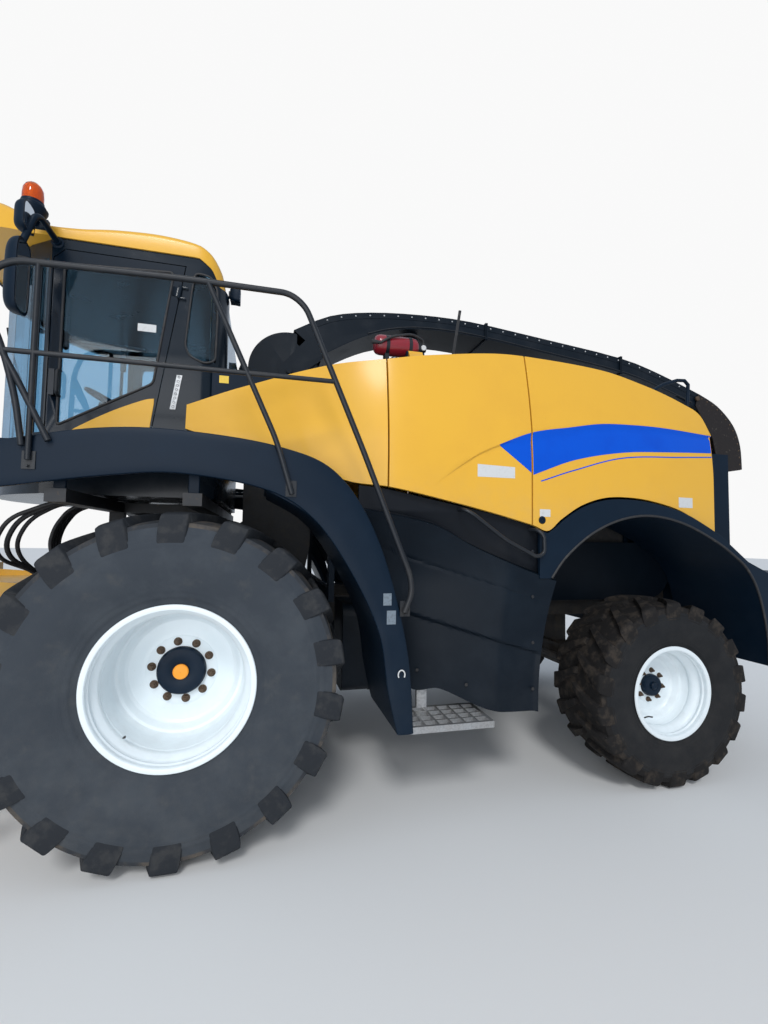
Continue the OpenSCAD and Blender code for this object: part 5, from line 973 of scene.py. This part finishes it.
def buildCab():
    b = cabSide
    y = b["y"]
    # yellow wedge under the door's glass, and the same shape under the right window
    line = splinePath([(0.735, 2.335), (0.7, 2.372), (0.513, 2.487), (0.33, 2.575), (0.262, 2.592)], 8)
    wedge = plateShape(np.concatenate([line, [(0.262, 2.56), (0.3, 2.25), (0.735, 2.25)]]), y - 0.002, y + 0.0035)
    makePiece("doorWedge", wedge, "goldenPaint", 0.0015, "side_door")
    makePiece("rightWedge", mirrored(wedge), "goldenPaint", 0.0015)
    pane, quarter = sealShape(doorPane, 0.008), sealShape(quarterPane, 0.007)
    makePiece("doorSeal", pane, "rubberHose", body="side_door", smooth=60)
    makePiece("cabSeals", both(quarter) + [mirrored(pane)], "rubberHose", smooth=60)
    # perforated latch bar on the post beside the door's jamb
    z0, z1, back = b["latchLow"], b["latchHigh"], b["latchBack"]
    ends = [(jambX(z) - back + dx, z) for z, dx in ((z0, -0.017), (z0, 0.017), (z1, 0.017), (z1, -0.017))]
    makePiece("latchBar", plateShape(ends, y - 0.002, y + 0.006), "galvanised", 0.002)
    hole = knobShape([(0.0, 0.008), (0.0075, 0.008), (0.0075, 0.0055), (0.0005, 0.0055)], steps=20)
    holes = stamped(hole, [(jambX(z) - back, y, z) for z in np.arange(z0 + 0.02, z1, 0.028)])
    makePiece("latchHoles", holes, "blackSteel")
    # grab on the door
    grab = tubeShape([(0.8, y - 0.004, 2.56), (0.8, y + 0.045, 2.57), (0.8, y + 0.045, 2.71),
                      (0.8, y - 0.004, 2.72)], 0.011, 0.03, 14, (1, 0, 0))
    makePiece("doorGrab", grab, "blackSteel", body="side_door", smooth=60)
    # a thin strip on each side, level with the jamb's slope and well behind it
    z = np.linspace(2.3, 3.46, 24)
    mid = np.stack([jambX(z) - b["stripBack"], z], -1)
    strip = plateShape(np.concatenate([mid - [0.011, 0], (mid + [0.011, 0])[::-1]]), y - 0.003, y + 0.0045)
    makePiece("postStrips", both(strip), "rubberHose", 0.002)
    # blank decals on the post and on the door's glass
    decal = boxShape((-0.19, y - 0.001, 2.735), (-0.13, y + 0.0012, 2.785))
    makePiece("postDecal", decal, "yellowPlate", 0.0004)
    sticker = boxShape((0.27, y - 0.013, 3.03), (0.38, y - 0.0112, 3.08))
    makePiece("glassSticker", sticker, "blankPlate", 0.0003, "side_door")
    # folded arm with two knobs behind the door's glass, held on the front post
    armY = b["armY"]
    knob = knobShape([(0.0, 0.001), (0.004, 0.02), (0.02, 0.03), (0.036, 0.02), (0.04, 0.001)], axis="x")
    arm = [tubeShape([(0.83, armY, 2.945), (0.6, armY, 2.945), (0.34, armY, 2.935)], 0.012, 0.05, 12),
           moved(knob, (0.795, armY, 2.975)), moved(knob, (0.795, armY, 2.915)),
           boxShape((0.46, armY - 0.015, 2.78), (0.49, armY + 0.015, 2.95)),
           boxShape((0.8, armY - 0.02, 2.9), (0.835, armY + 0.055, 2.99))]
    makePiece("stowedArm", arm, "blackSteel", 0.003)
    # windscreen wiper: a blade on the glass's arc and its arm
    r = (0.98 ** 2 + b["wiperReach"] ** 2) / (2 * b["wiperReach"])
    glassX = lambda across: 1.45 - r + np.sqrt(r * r - across * across)
    a = np.linspace(-0.3, 0.28, 30)
    blade = np.stack([glassX(a) + 0.006, a, 2.95 + 0.55 * (a + 0.3) / 0.58 - 0.28], -1)
    arm = [(glassX(0.0) + 0.004, 0.0, 2.12), (glassX(0.0) + 0.03, 0.0, 2.2), (glassX(-0.01) + 0.022, -0.01, 2.93)]
    wiper = [sweepShape(blade, 0.008, 8, (0, 0, 1)), tubeShape(arm, 0.006, 0.05, 10)]
    makePiece("wiper", wiper, "blackSteel", smooth=60)


# seat: places from the seat's middle and the cab's floor
seat = dict(x=0.33, floor=2.02, fill=0.7)
cushions = dict(seatCushion=((-0.235, -0.245, 0.335), (0.265, 0.245, 0.45), 0.1, 0.75, 0.0),
                seatBack=((-0.34, -0.235, 0.45), (-0.225, 0.235, 0.93), 0.1, 0.75, 0.15),
                headRest=((-0.375, -0.14, 0.93), (-0.28, 0.14, 1.045), 0.12, 0.7, 0.1))


def cushionShapes(low, high, rounded, crown, tilt):
    # a stuffed block: a cube cut finely, swollen to a superellipsoid and crowned in the middle of each face
    t = np.linspace(-1, 1, 22)
    u, v = np.meshgrid(t, t, indexing="ij")
    half, mid = (high - low) / 2, (high + low) / 2
    shapes = []
    for axis in range(3):
        for sign in (-1, 1):
            q = np.roll(np.stack([u, v, 0 * u + sign], -1), axis + 1, axis=-1)
            length = (np.abs(q) ** 8).sum(-1, keepdims=True) ** (1 / 8)
            bulge = np.prod(np.where(np.abs(q) < 0.999, np.cos(pi / 2 * q * 0.92), 1), axis=-1, keepdims=True)
            p = q / length * (1 - rounded * crown * (1 - bulge)) * half
            p[..., 0] -= math.tan(tilt) * p[..., 2]
            shapes.append(gridShape(p + mid))
    return shapes


def buildSeat():
    # seat and back cushions with a head rest, arm rests and the air-sprung base
    x, f = seat["x"], seat["floor"]
    for name, (low, high, rounded, crown, tilt) in cushions.items():
        shapes = cushionShapes(np.add(low, (x, 0, f)), np.add(high, (x, 0, f)), rounded, crown, tilt)
        makePiece(name, shapes, "seatCloth", smooth=60, stands="seat")
    folds = [(f + 0.105 + 0.2 * k / 12, 0.15 + 0.012 * (k % 2)) for k in range(13)]
    base = [boxShape((x - 0.2, -0.18, f), (x + 0.2, 0.18, f + 0.11)),
            boxShape((x - 0.24, -0.22, f + 0.3), (x + 0.25, 0.22, f + 0.345)), knobShape(folds, (x, 0, 0), 40, "z")]
    base += both(boxShape((x - 0.2, 0.275, f + 0.57), (x + 0.14, 0.345, f + 0.615)),
                 boxShape((x - 0.225, 0.235, f + 0.5), (x - 0.155, 0.295, f + 0.6)))
    makePiece("seatBase", base, "darkPlastic", 0.008, slot="fabric")


buildRoof()
buildCab()
buildSeat()
print("cab built")

# spout: lines in X and Z
spout = dict(half=0.2, bandDrop=0.03, bandWide=0.05, bandThick=0.003, boltGap=0.135, ringX=-0.55, ringR=0.318)
chuteTop = [(-0.65, 3.5), (-0.96, 3.665), (-1.32, 3.745), (-1.79, 3.785), (-2.29, 3.785), (-3.03, 3.72),
            (-3.96, 3.62), (-4.46, 3.5), (-4.96, 3.335)]
chuteLow = [(-0.9, 3.3), (-1.18, 3.465), (-1.445, 3.575), (-1.79, 3.64), (-2.29, 3.64), (-3.03, 3.565),
            (-3.96, 3.455), (-4.46, 3.335), (-4.96, 3.17)]
deflectorBack = [(-4.94, 3.33), (-5.19, 3.215), (-5.4, 3.02), (-5.492, 2.8), (-5.51, 2.54)]


def roundHead(r, h):
    # a low domed head standing on y = 0
    return knobShape([(-0.001, r), (0.35 * h, 0.97 * r), (0.8 * h, 0.65 * r), (h, 0.0005)], steps=14, core=0.0005)


def buildSpout():
    b = spout
    face = b["half"] + b["bandThick"]
    top, low = splinePath(chuteTop, 16), splinePath(chuteLow, 16)
    heightAt = lambda line, x: float(np.interp(-x, -line[:, 0], line[:, 1]))
    d = np.gradient(top, axis=0)
    normal = np.stack([-d[:, 1], d[:, 0]], -1) / np.linalg.norm(d, axis=1)[:, None]
    normal *= np.where(normal[:, 1:] > 0, -1, 1)
    # band along the upper edge of each side, with a row of bolts
    keep = top[:, 0] < -0.8
    rows = np.stack([(top + (0.006 + k * b["bandWide"]) * normal)[keep] for k in (0, 0.5, 1)], 1)
    band = sheetShape(upright(rows, face), (0, -0.9 * b["bandThick"], 0))
    makePiece("spoutBands", both(band), "spoutSheet", 0.001, "spout_arm")
    line = along((top + b["bandDrop"] * normal)[keep], int(4.5 / b["boltGap"]))
    bolts = stamped(roundHead(0.008, 0.006), upright(line, face))
    makePiece("spoutBolts", both(bolts), "galvanised", body="spout_arm", slot="spout_sheet")
    # bolted collars where the spout's sections meet
    collars = []
    for x in (-2.45, -3.96):
        zt, zl = heightAt(top, x), heightAt(low, x)
        for x0 in (x - 0.012, x + 0.002):
            for y0, y1, z0, z1 in ((0.197, 0.222, zl - 0.012, zt + 0.012), (-0.222, -0.197, zl - 0.012, zt + 0.012),
                                   (-0.198, 0.198, zt - 0.002, zt + 0.012), (-0.198, 0.198, zl - 0.012, zl + 0.002)):
                collars.append(boxShape((x0, y0, z0), (x0 + 0.01, y1, z1)))
    makePiece("spoutCollars", collars, "spoutSheet", 0.0015, "spout_arm")
    # hydraulic pipes clipped along both lower edges, and the cable to the flap
    path = np.array([(x, 0.212, heightAt(low, x) + 0.022) for x in np.linspace(-1.3, -4.85, 26)])
    pipes = [tubeShape(path * [1, side, 1] + [0, 0, rise], radius, 0.03, 10)
             for side, rise, radius in ((1, 0, 0.007), (-1, 0, 0.007), (-1, 0.02, 0.006))]
    makePiece("spoutPipes", pipes, "blackSteel", body="spout_arm", smooth=60)
    # bolts around the turntable ring
    t = np.arange(24) * 2 * pi / 24
    ring = np.stack([b["ringX"] + b["ringR"] * np.cos(t), b["ringR"] * np.sin(t), 0 * t + 2.987], -1)
    upwards = np.array([[1, 0, 0], [0, 0, -1], [0, 1, 0]], float)
    makePiece("turntableBolts", [stamped(s, ring, upwards) for s in boltShapes(0.01)[:2]], "rustyBolts",
              body="spout_turret", slot="spout_sheet")
    # bolts along the deflector's back edge
    line = along(splinePath(deflectorBack, 10), 15)[1:-1] + [0.028, -0.022]
    heads = stamped(roundHead(0.009, 0.006), upright(line, 0.216))
    pivot = knobShape([(-0.001, 0.026), (0.012, 0.024), (0.016, 0.018)], (-4.92, 0.216, 3.275), 32)
    makePiece("deflectorBolts", both(heads, pivot), "rustyBolts", body="spout_flap", slot="worn_sheet")


# tail: the arch's line from the rear axle, the grille's arc and the lamps on the bumper
tail = dict(archY=1.447, grilleX=-4.265, grilleHalf=1.03, sag=0.16, wireGap=0.022, wireR=0.0014, wireReach=0.93,
            lampX=-4.7, lampIn=1.03, lampOut=1.21)
archLine = [(0.97, 1.47), (0.85, 1.62), (0.64, 1.78), (0.4, 1.88), (0.15, 1.91), (-0.13, 1.86), (-0.41, 1.74),
            (-0.59, 1.63), (-0.72, 1.52), (-0.82, 1.34), (-0.89, 1.05), (-0.9, 0.8)]


def buildTail():
    b = tail
    # bead along each rear arch
    bead = sweepShape(upright(splinePath(archLine, 8) + [rearX, 0.004], b["archY"]), 0.009, 12)
    makePiece("archBeads", both(bead), "rubberHose", smooth=60)
    # wire mesh behind the grille's slats, on an arc through its middle and both its edges
    sag, reach, gap = b["sag"], b["wireReach"], b["wireGap"]
    r = (b["grilleHalf"] ** 2 + sag * sag) / (2 * sag)
    arcX = lambda y, inset: b["grilleX"] - 0.006 - sag + r - np.sqrt((r - inset) ** 2 - y * y)
    wires = []
    for y in np.arange(-reach, reach + 0.001, gap):
        x = arcX(y, 0.034)
        wires.append(boxShape((x - 0.0015, y - 0.0015, 1.6), (x + 0.0015, y + 0.0015, 2.4)))
    y = np.linspace(-reach, reach, 40)
    for z in np.arange(1.605, 2.4, gap):
        wires.append(sweepShape(np.stack([arcX(y, 0.036), y, 0 * y + z], -1), b["wireR"], 4, (0, 0, 1)))
    makePiece("grilleWires", wires, "blackSteel", body="tail_grille", slot="paint")
    # tail lamps: housing, and clear, amber and red lenses from the inside out
    x, y0, y1 = b["lampX"], b["lampIn"], b["lampOut"]
    makePiece("tailHousings", both(boxShape((x - 0.018, y0, 1.26), (x - 0.0003, y1, 1.4))), "darkPlastic", 0.004,
              slot="lamp_lens", stands="lamps")
    edges = np.linspace(y0 + 0.01, y1 - 0.01, 4)
    lenses = (("clearLenses", "lampLens"), ("amberLenses", "amberDome"), ("redLenses", "redLens"))
    for k, (name, mat) in enumerate(lenses):
        lens = boxShape((x - 0.03, edges[k] + 0.001, 1.27), (x - 0.017, edges[k + 1] - 0.001, 1.39))
        makePiece(name, both(lens), mat, 0.004)


# work lamps: each lamp's place, facing, and width, height and depth
lampZ = 3.612
lampSpots = [((1.61, y, lampZ), 1, (0.158, 0.104, 0.066)) for y in (-0.64, -0.3, 0.3, 0.64)]
lampSpots += [((-0.235, y, 3.44), -1, (0.108, 0.118, 0.07)) for y in (-0.795, 0.795)]


def lampShapes(width, height, depth):
    # a work lamp that faces +x from x = 0: a rounded housing with cooling fins, a dished reflector and a lens
    t = np.linspace(0, 2 * pi, 36, endpoint=False)
    c, s = np.cos(t), np.sin(t)
    py, pz = width / 2 * np.sign(c) * np.abs(c) ** 0.45, height / 2 * np.sign(s) * np.abs(s) ** 0.45

    def rings(table):
        return gridShape(np.stack([np.stack([0 * t + x, k * py, k * pz], -1) for x, k in table]), closeV=True)

    housing = rings([(-depth, 0.01), (-depth, 0.62), (-0.8 * depth, 0.85), (-0.5 * depth, 0.96), (-0.004, 1.0),
                     (0, 0.985), (0, 0.93), (-0.012, 0.9), (-0.014, 0.01)])
    reflector = rings([(-0.0135, 0.02), (-0.013, 0.25), (-0.011, 0.6), (-0.006, 0.88), (-0.0058, 0.89)])
    lens = rings([(-0.005, 0.01), (-0.005, 0.9), (-0.002, 0.905), (-0.001, 0.85), (-0.0005, 0.01)])
    fins = [boxShape((-0.93 * depth, -0.3 * width, z - 0.0015), (-0.25 * depth, 0.3 * width, z + 0.0015))
            for z in np.linspace(-0.46, 0.46, 9) * height]
    return [housing, *fins], [reflector], [lens]


def buildLamps():
    groups = [[], [], []]
    for place, facing, size in lampSpots:
        for group, shapes in zip(groups, lampShapes(*size)):
            group += [(p * [facing, 1, 1] + np.array(place), f[:, ::facing]) for p, f in shapes]
    makePiece("lampHousings", groups[0], "darkPlastic", slot="lamp_lens")
    makePiece("lampReflectors", groups[1], "lampReflector", closed=False, smooth=60)
    makePiece("lampLenses", groups[2], "lampLens", smooth=60)
    # brackets from the lamps to the roof and the cab
    arms = []
    for (x, y, z), facing, size in lampSpots:
        low, high = ((-0.05, 0.04), (-0.02, 0.062)) if facing > 0 else ((0.045, -0.02), (0.08, 0.02))
        arms.append(boxShape((x + low[0], y - 0.02, z + low[1]), (x + high[0], y + 0.02, z + high[1])))
    makePiece("lampArms", arms, "blackSteel", 0.002, slot="lamp_lens")


# beacons on their pods, and mirrors: each head's x, half width, middle height and half height
beacon = dict(x=0.93, y=1.16)
mirror = dict(y=1.29, armX=0.85, armZ=3.525, wall=1.0003)
mirrorHeads = [(0.9, 0.085, 3.145, 0.214), (0.885, 0.07, 3.4875, 0.082)]


def buildBeaconsAndMirrors():
    x, y = beacon["x"], beacon["y"]
    foot = knobShape([(3.62, 0.07), (3.632, 0.07), (3.64, 0.066), (3.645, 0.06), (3.66, 0.058)], (x, y, 0),
                     64, "z")
    dome = knobShape([(3.6605, 0.0545), (3.7, 0.0545), (3.735, 0.051), (3.758, 0.04), (3.772, 0.024),
                      (3.7785, 0.001)], (x, y, 0), 64, "z")
    core = knobShape([(3.664, 0.04), (3.74, 0.036), (3.75, 0.028), (3.755, 0.001)], (x, y, 0), 32, "z")
    pod = knobShape([(3.53, 0.05), (3.54, 0.053), (3.595, 0.072), (3.61, 0.079), (3.618, 0.08), (3.6195, 0.078)],
                    (x, y, 0), 64, "z")
    podFoot = boxShape((0.84, y - 0.015, 3.51), (x, y + 0.015, 3.56))
    makePiece("beaconFeet", both(foot), "darkPlastic", slot="beacon", stands="beacons")
    makePiece("beaconDomes", both(dome), "amberDome", slot="beacon", smooth=60)
    makePiece("beaconCores", both(core), "orangeCap", slot="beacon", smooth=60)
    # mirror heads: a half round section that closes in at both ends, with a bright face to the rear
    t, flat = np.linspace(-pi / 2, pi / 2, 22), np.linspace(1, -1, 8)[1:-1]
    h = np.linspace(-1, 1, 34)[:, None]
    h = np.sign(h) * np.abs(h) ** 0.7
    size = np.clip((1 - np.abs(h) ** 5) ** (1 / 3.2), 0.02, 1)
    px, py = np.concatenate([np.cos(t), 0 * flat]), np.concatenate([np.sin(t), flat])
    heads, faces = [], []
    for hx, r, middle, half in mirrorHeads:
        p = np.stack([hx + r * px * size, mirror["y"] + r * py * size, middle + half * h + 0 * px], -1)
        heads.append(gridShape(capped(p), closeV=True))
        across = 0.965 * r * np.linspace(-0.88, 0.88, len(flat)) * size
        face = np.stack([0 * across + hx - 0.0012, mirror["y"] + across, middle + 0.92 * half * h + 0 * flat], -1)
        faces.append(sheetShape(face, (0.001, 0, 0)))
    ax, az, wall = mirror["armX"], mirror["armZ"], mirror["wall"]
    arm = tubeShape([(ax, wall, az), (ax, 1.25, az), (0.86, 1.29, 3.5), (0.915, 1.29, 3.34)], 0.018, 0.06, 16,
                    (1, 0, 0.05))
    collar = knobShape([(wall, 0.035), (1.008, 0.035), (1.012, 0.026), (1.03, 0.024)], (ax, 0, az), 32)
    makePiece("mirrorHeads", both(*heads, arm, collar, pod, podFoot), "darkPlastic", smooth=50, stands="mirrors")
    makePiece("mirrorFaces", both(*faces), "mirrorFace")


# extinguisher: its line along x, and turned profiles from the front axle
extinguisher = dict(y=1.178, z=3.045, bands=(-1.385, -1.225), feet=(-1.4, -1.24))
bottleProfile = [(-1.45, 0.034), (-1.444, 0.05), (-1.43, 0.062), (-1.405, 0.068), (-1.18, 0.068), (-1.158, 0.063),
                 (-1.145, 0.052), (-1.14, 0.036)]
neckProfile = [(-1.451, 0.03), (-1.47, 0.03), (-1.474, 0.02), (-1.5, 0.02), (-1.51, 0.016)]


def buildExtinguisher():
    y, z = extinguisher["y"], extinguisher["z"]
    middle = (0, y, z)
    makePiece("extinguisherBottle", knobShape(bottleProfile, middle, 72, "x"), "redPaint", smooth=50,
              stands="extinguisher")
    levers = [boxShape((-1.508, y - 0.008, z + low), (x1, y + 0.008, z + high))
              for x1, low, high in ((-1.42, 0.014, 0.022), (-1.44, 0.03, 0.036))]
    makePiece("extinguisherValve", [knobShape(neckProfile, middle, 40, "x")] + levers, "blackSteel", 0.001)
    gauge = knobShape([(0.0, 0.019), (0.008, 0.019), (0.01, 0.017)], (-1.488, y + 0.018, z + 0.005), 36)
    makePiece("extinguisherGauge", gauge, "blankPlate", slot="red_paint")
    line = np.array([(-1.492, 0, 0.018), (-1.49, 0.01, 0.06), (-1.4, 0.05, 0.082), (-1.24, 0.078, 0.035),
                     (-1.16, 0.08, -0.02)])
    nozzle = knobShape([(0.0, 0.01), (0.03, 0.013), (0.06, 0.015), (0.062, 0.001)], (-1.165, y + 0.08, z - 0.016),
                       axis="x")
    makePiece("extinguisherHose", [tubeShape(line + middle, 0.009, 0.05, 12, (0.2, 1, 0.3)), nozzle], "rubberHose",
              slot="hose", smooth=60)
    band = np.array([(-0.012, 0.067), (-0.012, 0.0698), (0.012, 0.0698), (0.012, 0.067)])
    bands = [latheShape(band + [x, 0], middle, 64, "x") for x in extinguisher["bands"]]
    feet = [boxShape((x, y - 0.03, float(hoodZ(x)) - 0.0097), (x + 0.03, y + 0.03, z - 0.055))
            for x in extinguisher["feet"]]
    makePiece("extinguisherBrackets", bands + feet, "blackSteel", 0.0008)


# hoses to the header couplings, the slack bundle under the platform, and the ladder's treads
headerHose = dict(count=4, y=0.6, gap=0.045, radius=0.013, wallX=0.6503, wallZ=1.915, endX=0.88, endZ=1.5003)
treads = dict(count=5, x0=1.1, x1=1.475, gap=0.03, top=(1.54, 0.53), run=(-0.28, 1.71))


def buildRunning():
    b = headerHose
    crimp = [(0, 0.019), (0.0147, 0.019), (0.0157, 0.0155), (0.0497, 0.0155), (0.0517, 0.001)]
    hoses, ends = [], []
    for k in range(b["count"]):
        y = b["y"] + b["gap"] * k
        line = [(b["wallX"], b["wallZ"]), (0.71, 1.915), (0.805, 1.875), (0.88, 1.76), (0.905, 1.65), (0.88, 1.56),
                (b["endX"], b["endZ"])]
        hoses.append(tubeShape(upright(line, y), b["radius"], 0.06, 14))
        ends += [knobShape(crimp, (b["endX"], y, b["endZ"]), 20, "z"),
                 knobShape(crimp, (b["wallX"], y, b["wallZ"]), 20, "x")]
    makePiece("headerHoses", hoses, "rubberHose", slot="hose", smooth=60, stands="hoses")
    makePiece("hoseEnds", ends, "galvanised", slot="hose")
    bundle = []
    for k in range(3):
        y, dx = 1.03 + 0.055 * k, 0.03 * k
        path = [(0.6, y, 1.905), (0.74, y + 0.01, 1.9), (0.9 + dx, y + 0.02, 1.8), (0.97 + dx, y, 1.66),
                (0.98 + dx, y - 0.1, 1.56), (0.94, 0.83 + 0.01 * k, 1.48), (0.885, 0.769, 1.44 - 0.03 * k)]
        bundle.append(tubeShape(path, 0.012 + 0.002 * (k % 2), 0.09, 12, (0.2, 0.3, 1)))
    makePiece("hoseBundle", bundle, "rubberHose", slot="hose", smooth=60)
    # teeth along the ladder's treads
    tooth = np.array([(-0.006, 0), (0.006, 0), (0.003, 0.009), (-0.003, 0.009)])
    teeth = []
    for k in range(treads["count"]):
        y, z = np.array(treads["top"]) + np.array(treads["run"]) * k / 4.6
        for x in np.arange(treads["x0"], treads["x1"], treads["gap"]):
            teeth += [plateShape(tooth + [x, z], y + low, y + low + 0.01) for low in (-0.055, 0.075)]
    makePiece("treadTeeth", teeth, "blackSteel")


buildSpout()
buildTail()
buildLamps()
buildBeaconsAndMirrors()
buildExtinguisher()
buildRunning()
print("spout, tail, lamps and running parts built")
